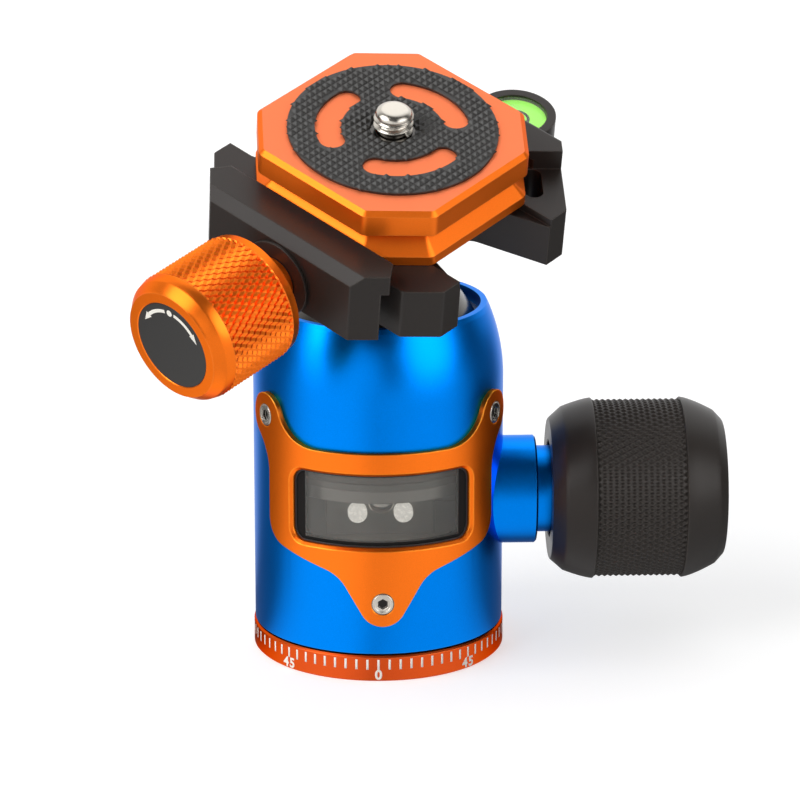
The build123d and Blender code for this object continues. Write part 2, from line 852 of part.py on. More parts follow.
with BuildPart() as clamp_body:
    # Body with four wings
    with BuildSketch(Plane.XY.offset(clamp_under)):
        with BuildLine():
            Polyline(
                (0, clamp_front),
                (cut_front_x, clamp_front),
                (clamp_half_l, -cut_side_y),
                (clamp_half_l, -scoop_mouth),
            )
            FilletPolyline(
                (clamp_half_l, -scoop_mouth),
                (scoop_x, -scoop_floor),
                (scoop_x, scoop_floor),
                (clamp_half_l, scoop_mouth),
                radius=scoop_r,
            )
            Polyline(
                (clamp_half_l, scoop_mouth),
                (clamp_half_l, cut_side_y),
                (cut_back_x, clamp_back),
                (0, clamp_back),
            )
            mirror(about=Plane.YZ)
        make_face()
    extrude(amount=clamp_t)
    wing_edges = clamp_body.edges().filter_by(Axis.Z).filter_by(
        lambda edge: abs(edge.center().X) > cut_back_x - clamp_edge
        and abs(edge.center().Y) > cut_side_y - clamp_edge
    )
    fillet(wing_edges, clamp_edge)
    # Boss of the bubble level
    with BuildSketch(Plane.XY.offset(clamp_under)):
        with Locations((0, level_y)):
            Circle(level_boss_r)
        with Locations((0, (level_y + stud_reach) / 2)):
            Rectangle(2 * level_boss_r, level_y - stud_reach)
    extrude(amount=boss_top - clamp_under)
    add(disc(vial_bottom, boss_top + 1, vial_r, (0, level_y)), mode=Mode.SUBTRACT)
    # Channel under the plate, with a slot at each end of the fixed jaw
    with BuildSketch(Plane.XY.offset(channel_floor)):
        Rectangle(2 * clamp_half_l, 2 * channel_half)
    extrude(amount=channel_d, mode=Mode.SUBTRACT)
    for side in (-1, 1):
        with BuildSketch(Plane.XY.offset(clamp_under)):
            with Locations(Pos(side * slot_x, slot_y) * Rot(0, 0, -45 * side)):
                SlotOverall(slot_l, slot_w)
        extrude(amount=clamp_t, mode=Mode.SUBTRACT)
    add(fixed_jaw.part)
    # Seats of the stem, its bolt, the stud and the guide pins
    add(disc(clamp_under, spigot_top + stem_gap, spigot_r + running), mode=Mode.SUBTRACT)
    add(disc(clamp_under, clamp_floor, bolt_r), mode=Mode.SUBTRACT)
    add(disc(bolt_seat, clamp_floor, bolt_head_r + bolt_head_clear), mode=Mode.SUBTRACT)
    add(cross_rod(-stud_reach, clamp_front - 1, stud_r), mode=Mode.SUBTRACT)
    for side in (-1, 1):
        add(
            cross_rod(clamp_front + pin_bore, clamp_front - 1, pin_r + running, side * pin_x),
            mode=Mode.SUBTRACT,
        )
save(clamp_body, "clamp_body", head)

with BuildPart() as clamp_bolt:
    add(disc(bolt_foot, bolt_seat, bolt_r))
    add(disc(bolt_seat, bolt_seat + bolt_head_h, bolt_head_r))
    with BuildSketch(Plane.XY.offset(bolt_seat + bolt_head_h)):
        RegularPolygon(bolt_hex_r, 6)
    extrude(amount=-bolt_hex_d, mode=Mode.SUBTRACT)
save(clamp_bolt, "clamp_bolt", head)

with BuildPart() as clamp_stud:
    add(cross_rod(-stud_reach, stud_out, stud_r))
save(clamp_stud, "clamp_stud", head)

with BuildPart() as level_vial:
    add(disc(vial_bottom, vial_bottom + vial_h, vial_r, (0, level_y)))
save(level_vial, "level_vial", head)

with BuildPart() as level_lens:
    add(disc(vial_bottom + vial_h, vial_bottom + vial_h + lens_h, vial_r, (0, level_y)))
    fillet(level_lens.edges().sort_by(Axis.Z)[-1], base_edge)
save(level_lens, "level_lens", head)

# ==== Movable jaw =============================================================
jaw_foot = clamp_under + jaw_under
jaw_lip_y = jaw_seat_y + wall_top - seat_z
pin_foot = jaw_in - pin_seat
pin_tip = clamp_front + pin_reach

with BuildPart() as movable_jaw:
    with BuildSketch(Plane.YZ):
        with BuildLine():
            Polyline(
                (jaw_out, jaw_foot),
                (jaw_in, jaw_foot),
                (jaw_in, clamp_floor + lip_gap),
                (jaw_seat_y, clamp_floor + lip_gap),
                (jaw_seat_y, seat_z),
                (jaw_lip_y, wall_top),
                (jaw_out + jaw_bevel_y, wall_top),
                (jaw_out, wall_top - jaw_bevel_z),
                close=True,
            )
        make_face()
    extrude(amount=jaw_tip_x, both=True)
    with BuildSketch(Plane.XY.offset(jaw_foot)):
        with BuildLine():
            Polyline(
                (0, jaw_out),
                (jaw_half_l, jaw_out),
                (jaw_tip_x, jaw_out + jaw_tip_y),
                (jaw_lip_x, jaw_lip_y),
                (0, jaw_lip_y),
            )
            mirror(about=Plane.YZ)
        make_face()
    extrude(amount=wall_top - jaw_foot, mode=Mode.INTERSECT)
    outer_corners = movable_jaw.edges().filter_by(Axis.Z).group_by(Axis.Y)[0]
    fillet(outer_corners, jaw_edge)
    add(cross_rod(jaw_in + 1, jaw_out - 1, stud_r + bore_clear), mode=Mode.SUBTRACT)
    for side in (-1, 1):
        add(cross_rod(jaw_in, pin_foot, pin_r, side * pin_x), mode=Mode.SUBTRACT)
save(movable_jaw, "movable_jaw", head)

with BuildPart() as guide_pins:
    for side in (-1, 1):
        add(cross_rod(pin_tip, pin_foot, pin_r, side * pin_x))
save(guide_pins, "guide_pins", head)

# ==== Clamp knob ==============================================================
grip_start = tightener_in - tightener_neck
grip_lead = grip_start - tightener_lead
grip_end = grip_lead - tightener_knurl
bevel_end = grip_end - tightener_bevel
tightener_end = bevel_end - tightener_rim
label_floor = tightener_end + label_h + label_inset
stud_axis = Axis((0, 0, stud_z), (0, 1, 0))


def grip_point(y, radius):
    """Point of the clamp knob's half section."""
    return (y, stud_z + radius)


with BuildPart() as clamp_knob:
    with BuildSketch(Plane.YZ):
        with BuildLine():
            Polyline(
                grip_point(tightener_in, stud_r + 2 * running),
                grip_point(tightener_in, tightener_neck_r),
                grip_point(grip_start, tightener_neck_r),
                grip_point(grip_start, tightener_in_r),
                grip_point(grip_lead, tightener_r),
                grip_point(grip_end, tightener_r),
                grip_point(bevel_end, tightener_bevel_r),
                grip_point(tightener_end, tightener_bevel_r - tightener_rim),
                grip_point(tightener_end, label_r),
                grip_point(label_floor, label_r),
                grip_point(label_floor, 0),
                grip_point(stud_out - stud_play, 0),
                grip_point(stud_out - stud_play, stud_r + 2 * running),
                close=True,
            )
        make_face()
    revolve(axis=stud_axis)
save(clamp_knob, "clamp_knob", head)

with BuildPart() as knob_label:
    add(cross_rod(label_floor, label_floor - label_h, label_r))
save(knob_label, "knob_label", head)

with BuildPart() as clamp_washer:
    add(cross_rod(jaw_out - face_gap, jaw_out - face_gap - tightener_washer, tightener_neck_r))
    add(cross_rod(jaw_out, tightener_in, stud_r + bore_clear), mode=Mode.SUBTRACT)
save(clamp_washer, "clamp_washer", head)

# ==== Quick-release plate =====================================================
head_floor_w = plate_under + camera_head_inset
pad_top = plate_top + pad_h
camera_seat = head_floor_w + camera_head_h
camera_top = plate_top + camera_up

with BuildPart() as qr_plate:
    add(octagon(0, plate_under, plate_corner))
    extrude(amount=plate_rim)
    add(octagon(0, plate_foot, plate_corner))
    add(octagon(dovetail, waist_bottom, waist_corner))
    loft()
    add(octagon(dovetail, waist_bottom, waist_corner))
    extrude(amount=waist_h)
    add(octagon(0, flange_under, plate_corner))
    extrude(amount=plate_flange)
    chamfer(qr_plate.faces().sort_by(Axis.Z)[-1].edges(), plate_edge)
    with BuildSketch(Plane.XY.offset(waist_bottom)):
        with Locations((waist_slot_x, waist_slot_d - plate_half)):
            Rectangle(waist_slot_l, 2 * dovetail)
    extrude(amount=waist_h, mode=Mode.SUBTRACT)
    add(disc(plate_under, plate_top, camera_r + camera_clear), mode=Mode.SUBTRACT)
    add(
        disc(plate_under, camera_seat + face_gap, camera_head_r + camera_clear),
        mode=Mode.SUBTRACT,
    )
    add(disc(clip_bottom, plate_top, clip_r), mode=Mode.SUBTRACT)
save(qr_plate, "qr_plate", head)

with BuildPart() as screw_clip:
    add(disc(clip_bottom, plate_top, clip_r))
    add(disc(clip_bottom, plate_top, camera_neck_r + camera_clear), mode=Mode.SUBTRACT)
    with BuildSketch(Plane.XY.offset(clip_bottom)):
        with Locations((0, clip_r)):
            Rectangle(clip_gap_w, 2 * clip_r)
    extrude(amount=clip_h, mode=Mode.SUBTRACT)
save(screw_clip, "screw_clip", head)

window_mid = (pad_window_in + pad_window_out) / 2
with BuildPart() as rubber_pad:
    with BuildSketch(Plane.XY.offset(plate_top)):
        Circle(pad_r)
        Circle(pad_hole_r, mode=Mode.SUBTRACT)
        for window in range(pad_windows):
            start = 90 + window * 360 / pad_windows - pad_window_half
            SlotArc(
                CenterArc((0, 0), window_mid, start, 2 * pad_window_half),
                pad_window_out - pad_window_in,
                mode=Mode.SUBTRACT,
            )
    extrude(amount=pad_h)
save(rubber_pad, "rubber_pad", head)

with BuildPart() as camera_screw:
    add(disc(head_floor_w, camera_seat, camera_head_r))
    add(disc(camera_seat, pad_top, camera_neck_r))
    add(disc(pad_top, camera_top, camera_r))
    chamfer(camera_screw.edges().sort_by(Axis.Z)[-1], camera_tip)
    with BuildSketch(Plane.XY.offset(head_floor_w)):
        Rectangle(2 * camera_head_r, camera_slot_w)
    extrude(amount=camera_slot_d, mode=Mode.SUBTRACT)
save(camera_screw, "camera_screw", head)
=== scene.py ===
import json
import math

import bpy
from mathutils import Matrix, Vector

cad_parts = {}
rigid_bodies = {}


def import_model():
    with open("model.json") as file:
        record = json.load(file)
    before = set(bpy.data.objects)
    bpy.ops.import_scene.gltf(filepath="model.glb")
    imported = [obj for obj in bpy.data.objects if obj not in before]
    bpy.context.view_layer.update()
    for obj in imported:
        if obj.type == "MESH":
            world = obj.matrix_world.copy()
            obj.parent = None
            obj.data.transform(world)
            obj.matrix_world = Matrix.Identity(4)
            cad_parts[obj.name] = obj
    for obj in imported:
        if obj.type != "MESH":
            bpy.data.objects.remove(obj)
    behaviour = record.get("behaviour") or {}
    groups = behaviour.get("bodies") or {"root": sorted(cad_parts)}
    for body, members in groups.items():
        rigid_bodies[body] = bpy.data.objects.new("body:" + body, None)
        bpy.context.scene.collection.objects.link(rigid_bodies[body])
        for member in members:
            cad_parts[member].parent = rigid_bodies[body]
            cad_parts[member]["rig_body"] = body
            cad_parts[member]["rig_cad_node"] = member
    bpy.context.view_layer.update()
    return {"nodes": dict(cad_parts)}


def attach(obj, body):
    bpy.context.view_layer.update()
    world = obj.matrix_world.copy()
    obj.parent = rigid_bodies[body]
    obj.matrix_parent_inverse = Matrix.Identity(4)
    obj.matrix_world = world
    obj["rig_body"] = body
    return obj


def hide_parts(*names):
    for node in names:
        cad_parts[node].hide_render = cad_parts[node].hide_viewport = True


bl_info = {
    "name": "Tripod ball head",
    "version": (1, 0, 0),
    "blender": (4, 5, 0),
    "location": "View3D > Sidebar > Ball head",
    "description": "Knurled knobs, rubber pad, scale, level and finishes of a tripod ball head",
    "category": "Object",
}

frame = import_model()

MM = 0.001

# ---- Places, in millimetres, the same as in the solids --------------------------
BALL_Z = 49.15
HEAD_TILT = 24.2
HEAD_LEAN = 2.1
HEAD_SPIN = -44.0
LOCK_AXIS_Z = 26.3
STUD_Z = 32.43
LEVEL_Y = 31.3
PLATE_TOP = 47.69

HEAD = (
    Matrix.Translation((0, 0, BALL_Z * MM))
    @ Matrix.Rotation(math.radians(HEAD_TILT), 4, "X")
    @ Matrix.Rotation(math.radians(HEAD_LEAN), 4, "Y")
    @ Matrix.Rotation(math.radians(HEAD_SPIN), 4, "Z")
)
LOCK_PLACE = Matrix.Translation((0, 0, LOCK_AXIS_Z * MM)) @ Matrix.Rotation(math.radians(90), 4, "Y")
CLAMP_KNOB_PLACE = (
    HEAD @ Matrix.Translation((0, 0, STUD_Z * MM)) @ Matrix.Rotation(math.radians(90), 4, "X")
)
UPRIGHT = Matrix.Identity(4)


# ==== Sizes and colours a user would change =======================================
def length(name, text, default):
    """A length in metres, shown in the scene's unit, given here in millimetres."""
    return bpy.props.FloatProperty(
        name=name, description=text, default=default * MM, precision=5, unit="LENGTH"
    )


def colour(name, text, red, green, blue):
    """A colour, given here as it looks on a screen, 0 to 255."""
    return bpy.props.FloatVectorProperty(
        name=name, description=text, subtype="COLOR", size=3, min=0, max=1,
        default=(linear(red), linear(green), linear(blue)),
    )


def linear(level):
    """Linear light of an 8-bit screen level."""
    share = level / 255
    return share / 12.92 if share <= 0.04045 else ((share + 0.055) / 1.055) ** 2.4


class HeadSizes(bpy.types.PropertyGroup):
    """Sizes of the pieces that this file models."""

    knurl_deep: length("Grip knurl depth", "Depth of the clamp knob's knurl", 0.62)
    knurl_soft: length("Lock knurl depth", "Depth of the lock knob's knurl", 0.55)
    pad_pitch: length("Pad pitch", "Distance from one pad stud to the next", 1.2)
    pad_relief: length("Pad relief", "Height of the pad's studs", 0.55)
    tick_width: length("Tick width", "Width of a scale line", 0.4)
    tick_length: length("Tick length", "Length of a scale line", 1.75)
    numeral_height: length("Numeral size", "Type size of the scale's numbers", 2.3)
    mark_lift: length("Mark lift", "How far printed marks stand proud", 0.012)
    thread_pitch: length("Thread pitch", "Pitch of the camera screw", 1.27)


class HeadColours(bpy.types.PropertyGroup):
    """Colours of the finishes."""

    blue: colour("Blue", "Anodised housing", 0, 122, 224)
    # Worn colours: on edges they are partly wear and partly a painted highlight.
    blue_pale: colour("Blue, worn", "Housing where it has rubbed", 60, 160, 240)
    orange: colour("Orange", "Anodised plate, bracket and clamp knob", 246, 116, 28)
    # On edges this is partly wear and partly a painted highlight.
    orange_pale: colour("Orange, worn", "Orange where it has rubbed", 255, 170, 90)
    ring: colour("Ring", "Base ring", 206, 78, 30)
    # Painted highlight: the bracket's bright bevels are drawn in this colour on its edges.
    bevel: colour("Bevel", "Bright edges of the bracket", 255, 190, 70)
    # Plate top: the paler colour is painted sheen; the top's greater roughness is its blasted finish.
    plate_top: colour("Plate top", "Blasted top of the plate", 250, 138, 92)
    black: colour("Black", "Anodised clamp and lock knob", 46, 41, 38)
    # On edges this is partly wear and partly a painted highlight.
    black_pale: colour("Black, worn", "Black where it has rubbed", 104, 98, 92)
    rubber: colour("Rubber", "Pad and label", 33, 31, 29)
    steel: colour("Steel", "Screws", 196, 190, 180)
    pale: colour("Pale aluminium", "Thrust plate below the cup", 146, 143, 136)
    dull: colour("Dull aluminium", "Wedge block and ball cup", 116, 114, 108)
    dark_metal: colour("Dark metal", "Hard-coated ball and screw clip", 84, 82, 80)
    liquid: colour("Liquid", "Level's liquid", 142, 226, 66)
    mark: colour("Mark", "Printed marks", 246, 242, 232)


# ==== Modelling by hand ===========================================================
MERGE = 0.0005              # closer vertices become one
CROWN = 1.35                # power that bows a cone outwards; 1 is straight
BAND_MARGIN = 0.01          # a knurled band's end rings count as inside it


def start(name):
    """Name the new piece and open it for editing."""
    piece = bpy.context.object
    piece.name = name
    piece.data.name = name
    bpy.ops.object.mode_set(mode="EDIT")
    return piece


def settle():
    """Apply the place, turn and size of what is selected to its mesh."""
    bpy.ops.object.transform_apply(location=True, rotation=True, scale=True)


def clear_selection():
    """Leave edit mode with nothing selected."""
    if bpy.context.object and bpy.context.object.mode != "OBJECT":
        bpy.ops.object.mode_set(mode="OBJECT")
    bpy.ops.object.select_all(action="DESELECT")


def select_mesh():
    """Select the whole of the open piece."""
    bpy.ops.mesh.select_all(action="SELECT")


def resize(x, y, z, middle=0.0):
    """Resize what is selected about a point of the axis, whose height is in metres."""
    bpy.ops.transform.resize(value=(x, y, z), center_override=(0, 0, middle))


def pick(piece, kind, test):
    """Select the vertices or faces of the open piece whose place passes a test, in millimetres."""
    bpy.ops.mesh.select_mode(type="VERT" if kind == "vertices" else "FACE")
    bpy.ops.mesh.select_all(action="DESELECT")
    bpy.ops.object.mode_set(mode="OBJECT")
    picked = 0
    for part in getattr(piece.data, "vertices" if kind == "vertices" else "polygons"):
        place = (part.co if kind == "vertices" else part.center) / MM
        part.select = bool(test(place))
        picked += part.select
    bpy.ops.object.mode_set(mode="EDIT")
    if not picked:
        raise RuntimeError(f"{piece.name}: no {kind} where they should be")


def close(piece, place=UPRIGHT, smooth_angle=30.0):
    """Merge, turn the faces outwards, leave edit mode and put the mesh in its place."""
    bpy.ops.mesh.select_mode(type="VERT")
    select_mesh()
    bpy.ops.mesh.remove_doubles(threshold=MERGE * MM)
    bpy.ops.mesh.normals_make_consistent(inside=False)
    bpy.ops.object.mode_set(mode="OBJECT")
    piece.matrix_world = place
    bpy.ops.object.select_all(action="DESELECT")
    piece.select_set(True)
    bpy.context.view_layer.objects.active = piece
    settle()
    bpy.ops.object.shade_smooth_by_angle(angle=math.radians(smooth_angle))
    return piece


def pull(distance, ratio=1.0):
    """Extrude what is selected up its axis by millimetres, and resize the new end."""
    bpy.ops.mesh.extrude_region_move(TRANSFORM_OT_translate={"value": (0, 0, distance * MM)})
    if abs(ratio - 1) > 1e-9:
        resize(ratio, ratio, 1)


def turn(name, profile, sides):
    """Open a turned piece: a ring pulled along its axis from one (height, radius) to the next."""
    clear_selection()
    height, radius = profile[0]
    bpy.ops.mesh.primitive_circle_add(
        vertices=sides, radius=radius * MM, fill_type="NOTHING", location=(0, 0, height * MM)
    )
    settle()
    piece = start(name)
    select_mesh()
    for next_height, next_radius in profile[1:]:
        pull(next_height - height, next_radius / radius)
        height, radius = next_height, next_radius
    return piece


def swell(end_height, end_radius, full_height, full_radius, steps):
    """Points of a slightly crowned cone, from its end to its full radius."""
    points = []
    for step in range(steps + 1):
        share = 1 - step / steps
        points.append(
            (
                full_height + (end_height - full_height) * share,
                full_radius - (full_radius - end_radius) * share**CROWN,
            )
        )
    return points


def band_rings(low, high, rows, radius):
    """Points of a straight band, with a ring between each two rows of its knurl."""
    step = (high - low) / rows
    return [(low + step * row, radius) for row in range(rows + 1)]


def knurl(piece, low, high, rows, columns, radius, depth):
    """Cut crossed grooves in an open turned piece between two heights, which leaves diamonds."""
    step = (high - low) / rows

    def groove(place):
        row = round((place.z - low) / step)
        column = round(math.atan2(place.y, place.x) / (2 * math.pi) * columns)
        inside = low - BAND_MARGIN < place.z < high + BAND_MARGIN and place.xy.length > radius - depth
        return inside and (row + column) % 2 == 1

    valley = (radius - depth) / radius
    pick(piece, "vertices", groove)
    resize(valley, valley, 1)
    pick(piece, "faces", lambda place: low < place.z < high and place.xy.length > radius - depth)
    before = len(piece.data.vertices)
    bpy.ops.mesh.poke()
    bpy.ops.object.mode_set(mode="OBJECT")
    for vertex in piece.data.vertices:
        vertex.select = vertex.index >= before
    bpy.ops.object.mode_set(mode="EDIT")
    bpy.ops.mesh.select_mode(type="VERT")
    sink = (radius - depth) / (radius - depth / 2)
    resize(sink, sink, 1)


def dress(piece, body, slot, finish, *nodes):
    """Give a finished piece its body and finish, and let it stand for CAD nodes; its slot argument is not
    used.
    """
    piece.data.materials.clear()
    piece.data.materials.append(bpy.data.materials[finish])
    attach(piece, body)
    if nodes:
        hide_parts(*nodes)
    clear_selection()


# ==== Finishes ====================================================================
EDGE_ROUND = 0.3
ANODISED_EDGE = 0.12
KNURL_EDGE = 0.04
BEVEL_SAMPLES = 4
RUB_ROUND = 0.35            # rounding that finds the edges which rub and which carry a painted highlight
RUB_RANGE = (0.985, 0.80)   # cosines at which the paler edge, part wear and part painted highlight, starts and is full
BROAD_NOISE = (160.0, 3.0)
SCRATCH_NOISE = (2600.0, 4.0)
GRAIN_DETAIL = 2.0
TOP_RANGE = (0.96, 0.985)   # cosines at which a face counts as the plate's top
TOP_ROUGH = 0.6
BORDER_FADE = 0.25
BORDER_TONE = (0.004, 0.004, 0.004, 1)
BORDER_ROUGH = 0.8
SMOKE = (0.33, 0.33, 0.31)
HAZE = 0.28                 # how much the window hides
BLUE_TINT = (0.6, 0.75, 1.0, 1)
ORANGE_TINT = (0.8, 0.35, 0.2, 1)


def link_value(tree, value, put):
    """Link a node's output to a socket, or set the socket to a plain value."""
    if isinstance(value, bpy.types.NodeSocket):
        tree.links.new(value, put)
    else:
        put.default_value = value


def compute(tree, operation, *values):
    """Output of a Math node."""
    node = tree.nodes.new("ShaderNodeMath")
    node.operation = operation
    for put, value in zip(node.inputs, values):
        link_value(tree, value, put)
    return node.outputs[0]


def ramp(tree, value, low, high, at_low, at_high):
    """Output that runs from one value to another between two limits."""
    node = tree.nodes.new("ShaderNodeMapRange")
    node.interpolation_type = "SMOOTHSTEP"
    for put, number in zip(node.inputs, (value, low, high, at_low, at_high)):
        link_value(tree, number, put)
    return node.outputs["Result"]


def coordinates(tree, kind):
    """Texture coordinates of one kind."""
    return tree.nodes.new("ShaderNodeTexCoord").outputs[kind]


def cosine(tree, direction, towards):
    """Dot product of a direction with a fixed or a varying one."""
    node = tree.nodes.new("ShaderNodeVectorMath")
    node.operation = "DOT_PRODUCT"
    link_value(tree, direction, node.inputs[0])
    link_value(tree, towards, node.inputs[1])
    return node.outputs["Value"]


def blend_colour(tree, share, first, second):
    """Output of a Mix node for colours."""
    node = tree.nodes.new("ShaderNodeMix")
    node.data_type = "RGBA"
    for put, value in zip((node.inputs[0], node.inputs[6], node.inputs[7]), (share, first, second)):
        link_value(tree, value, put)
    return node.outputs[2]


def rounded_normal(tree, radius):
    """Normal that rounds a piece's edges by millimetres."""
    node = tree.nodes.new("ShaderNodeBevel")
    node.samples = BEVEL_SAMPLES
    node.inputs["Radius"].default_value = radius * MM
    return node.outputs["Normal"]


def blend_value(tree, share, first, second):
    """Output of a Mix node for plain values."""
    node = tree.nodes.new("ShaderNodeMix")
    for put, value in zip((node.inputs[0], node.inputs[2], node.inputs[3]), (share, first, second)):
        link_value(tree, value, put)
    return node.outputs[0]


def surface_group():
    """Group that varies a finish: fine grain, broad patches, and paler edges that are partly wear and
    partly a painted highlight.
    """
    tree = bpy.data.node_groups.new("Metal surface", "ShaderNodeTree")
    colour_kind, number_kind = "NodeSocketColor", "NodeSocketFloat"
    for kind, direction, name, value in (
        (colour_kind, "INPUT", "Colour", (0.5, 0.5, 0.5, 1)),
        (colour_kind, "INPUT", "Worn colour", (0.8, 0.8, 0.8, 1)),
        (number_kind, "INPUT", "Grain scale", 5000.0),
        (number_kind, "INPUT", "Grain", 0.15),
        (number_kind, "INPUT", "Patches", 0.1),
        (number_kind, "INPUT", "Edge wear", 0.3),
        (number_kind, "INPUT", "Roughness", 0.35),
        (colour_kind, "OUTPUT", "Colour", None),
        (number_kind, "OUTPUT", "Roughness", None),
        (number_kind, "OUTPUT", "Height", None),
    ):
        made = tree.interface.new_socket(name=name, in_out=direction, socket_type=kind)
        if value is not None:
            made.default_value = value
    entry = tree.nodes.new("NodeGroupInput")
    leave = tree.nodes.new("NodeGroupOutput")
    place = coordinates(tree, "Object")

    def noise(scale, detail):
        node = tree.nodes.new("ShaderNodeTexNoise")
        node.inputs["Detail"].default_value = detail
        tree.links.new(place, node.inputs["Vector"])
        link_value(tree, scale, node.inputs["Scale"])
        return node.outputs["Fac"]

    grain = noise(entry.outputs["Grain scale"], GRAIN_DETAIL)
    patch = noise(*BROAD_NOISE)
    scratch = noise(*SCRATCH_NOISE)
    grain_off = compute(tree, "MULTIPLY", compute(tree, "SUBTRACT", grain, 0.5), entry.outputs["Grain"])
    patch_off = compute(tree, "MULTIPLY", compute(tree, "SUBTRACT", patch, 0.5), entry.outputs["Patches"])
    light = compute(tree, "ADD", compute(tree, "ADD", grain_off, patch_off), 1.0)

    # Paler edges, partly rubbed and partly a painted highlight: where the rounded normal leaves the face's
    # own
    own = tree.nodes.new("ShaderNodeNewGeometry").outputs["Normal"]
    edge = tree.nodes.new("ShaderNodeMapRange")
    edge.inputs["From Min"].default_value, edge.inputs["From Max"].default_value = RUB_RANGE
    tree.links.new(cosine(tree, rounded_normal(tree, RUB_ROUND), own), edge.inputs["Value"])
    rubbed = compute(tree, "MULTIPLY", edge.outputs["Result"], entry.outputs["Edge wear"])
    rubbed = compute(tree, "MULTIPLY", rubbed, compute(tree, "MULTIPLY_ADD", scratch, 1.2, 0.2))

    mixed = blend_colour(tree, rubbed, entry.outputs["Colour"], entry.outputs["Worn colour"])
    shade = tree.nodes.new("ShaderNodeVectorMath")
    shade.operation = "SCALE"
    tree.links.new(mixed, shade.inputs[0])
    tree.links.new(light, shade.inputs["Scale"])
    tree.links.new(shade.outputs["Vector"], leave.inputs["Colour"])
    rough = compute(tree, "ADD", entry.outputs["Roughness"], compute(tree, "MULTIPLY", patch_off, 0.6))
    rough = compute(tree, "ADD", rough, compute(tree, "MULTIPLY", grain_off, 0.4))
    tree.links.new(rough, leave.inputs["Roughness"])
    tree.links.new(grain, leave.inputs["Height"])
    return tree


def finish(
    name, tone, worn, rough, metal, grain=(5000.0, 0.15), patches=0.1, wear=0.3, relief=0.01,
    edge=EDGE_ROUND, **plain,
):
    """A material: the surface group feeds a Principled shader, whose plain values are set on it."""
    material = bpy.data.materials.new(name)
    material.use_nodes = True
    tree = material.node_tree
    shader = tree.nodes["Principled BSDF"]
    surface = tree.nodes.new("ShaderNodeGroup")
    surface.node_tree = bpy.data.node_groups["Metal surface"]
    for put, value in (
        ("Colour", (*tone, 1)),
        ("Worn colour", (*worn, 1)),
        ("Grain scale", grain[0]),
        ("Grain", grain[1]),
        ("Patches", patches),
        ("Edge wear", wear),
        ("Roughness", rough),
    ):
        surface.inputs[put].default_value = value
    bump = tree.nodes.new("ShaderNodeBump")
    bump.inputs["Distance"].default_value = relief * MM
    bump.inputs["Strength"].default_value = 1.0
    tree.links.new(rounded_normal(tree, edge), bump.inputs["Normal"])
    tree.links.new(surface.outputs["Height"], bump.inputs["Height"])
    tree.links.new(bump.outputs["Normal"], shader.inputs["Normal"])
    tree.links.new(surface.outputs["Colour"], shader.inputs["Base Color"])
    tree.links.new(surface.outputs["Roughness"], shader.inputs["Roughness"])
    shader.inputs["Metallic"].default_value = metal
    for put, value in plain.items():
        shader.inputs[put.replace("_", " ")].default_value = value
    return material


def cover(tree, mask, tone, rough):
    """Give a material another colour and roughness where a mask is on."""
    inputs = tree.nodes["Principled BSDF"].inputs
    for put, blend, value in (
        (inputs["Base Color"], blend_colour, tone), (inputs["Roughness"], blend_value, rough)
    ):
        tree.links.new(blend(tree, mask, put.links[0].from_socket, value), put)


def blast_top(material, towards, tone):
    """Give the faces that look one way a duller, blasted finish, and a paler colour that is painted sheen.
    """
    tree = material.node_tree
    mask = ramp(tree, cosine(tree, coordinates(tree, "Normal"), towards), *TOP_RANGE, 0.0, 1.0)
    cover(tree, mask, (*tone, 1), TOP_ROUGH)


# The window's clear part: from the left to the right, and from low to high
WINDOW_CLEAR = ((-12.3, 12.4), (24.2, 35.1))


def black_border(material, haze):
    """Give the window a black edge round its hazy middle."""
    tree = material.node_tree
    shader = tree.nodes["Principled BSDF"]
    place = tree.nodes.new("ShaderNodeSeparateXYZ")
    tree.links.new(coordinates(tree, "Object"), place.inputs[0])
    edge = 0.0
    for axis, (low, high) in (("X", WINDOW_CLEAR[0]), ("Z", WINDOW_CLEAR[1])):
        middle, half = (low + high) / 2 * MM, (high - low) / 2 * MM
        off = compute(tree, "ABSOLUTE", compute(tree, "SUBTRACT", place.outputs[axis], middle))
        edge = compute(tree, "MAXIMUM", ramp(tree, off, half, half + BORDER_FADE * MM, 0.0, 1.0), edge)
    link_value(tree, blend_value(tree, edge, haze, 1.0), shader.inputs["Alpha"])
    cover(tree, edge, BORDER_TONE, BORDER_ROUGH)


FINISH_OF = {
    "Blue anodised": ("housing", "knob_bush"),
    "Knurled orange": ("clamp_knob",),
    "Ring": ("base_ring",),
    "Bracket": ("window_bracket",),
    "Blasted plate": ("qr_plate",),
    "Black anodised": ("clamp_body", "movable_jaw", "clamp_washer", "lock_knob", "knob_cap"),
    "Hard-coated": ("ball", "screw_clip"),
    "Plain aluminium": ("pan_flange", "pan_retainer", "chamber_floor"),
    "Dull aluminium": ("wedge_block", "ball_cup"),
    "Pale aluminium": ("thrust_plate",),
    "Screw ends": ("block_screws",),
    "Bright steel": (
        "thread_bush", "centre_peg", "bracket_screws", "lock_spindle", "knob_screw",
        "clamp_bolt", "clamp_stud", "guide_pins", "camera_screw",
    ),
    "Smoked window": ("front_window",),
    "Lens": ("level_lens",),
    "Level liquid": ("level_vial",),
    "Grey plastic": ("pan_washer", "seat_ring", "knob_washer"),
    "Black rubber": ("rubber_pad",),
    "Black gasket": ("window_gasket",),
    "Label": ("knob_label",),
}


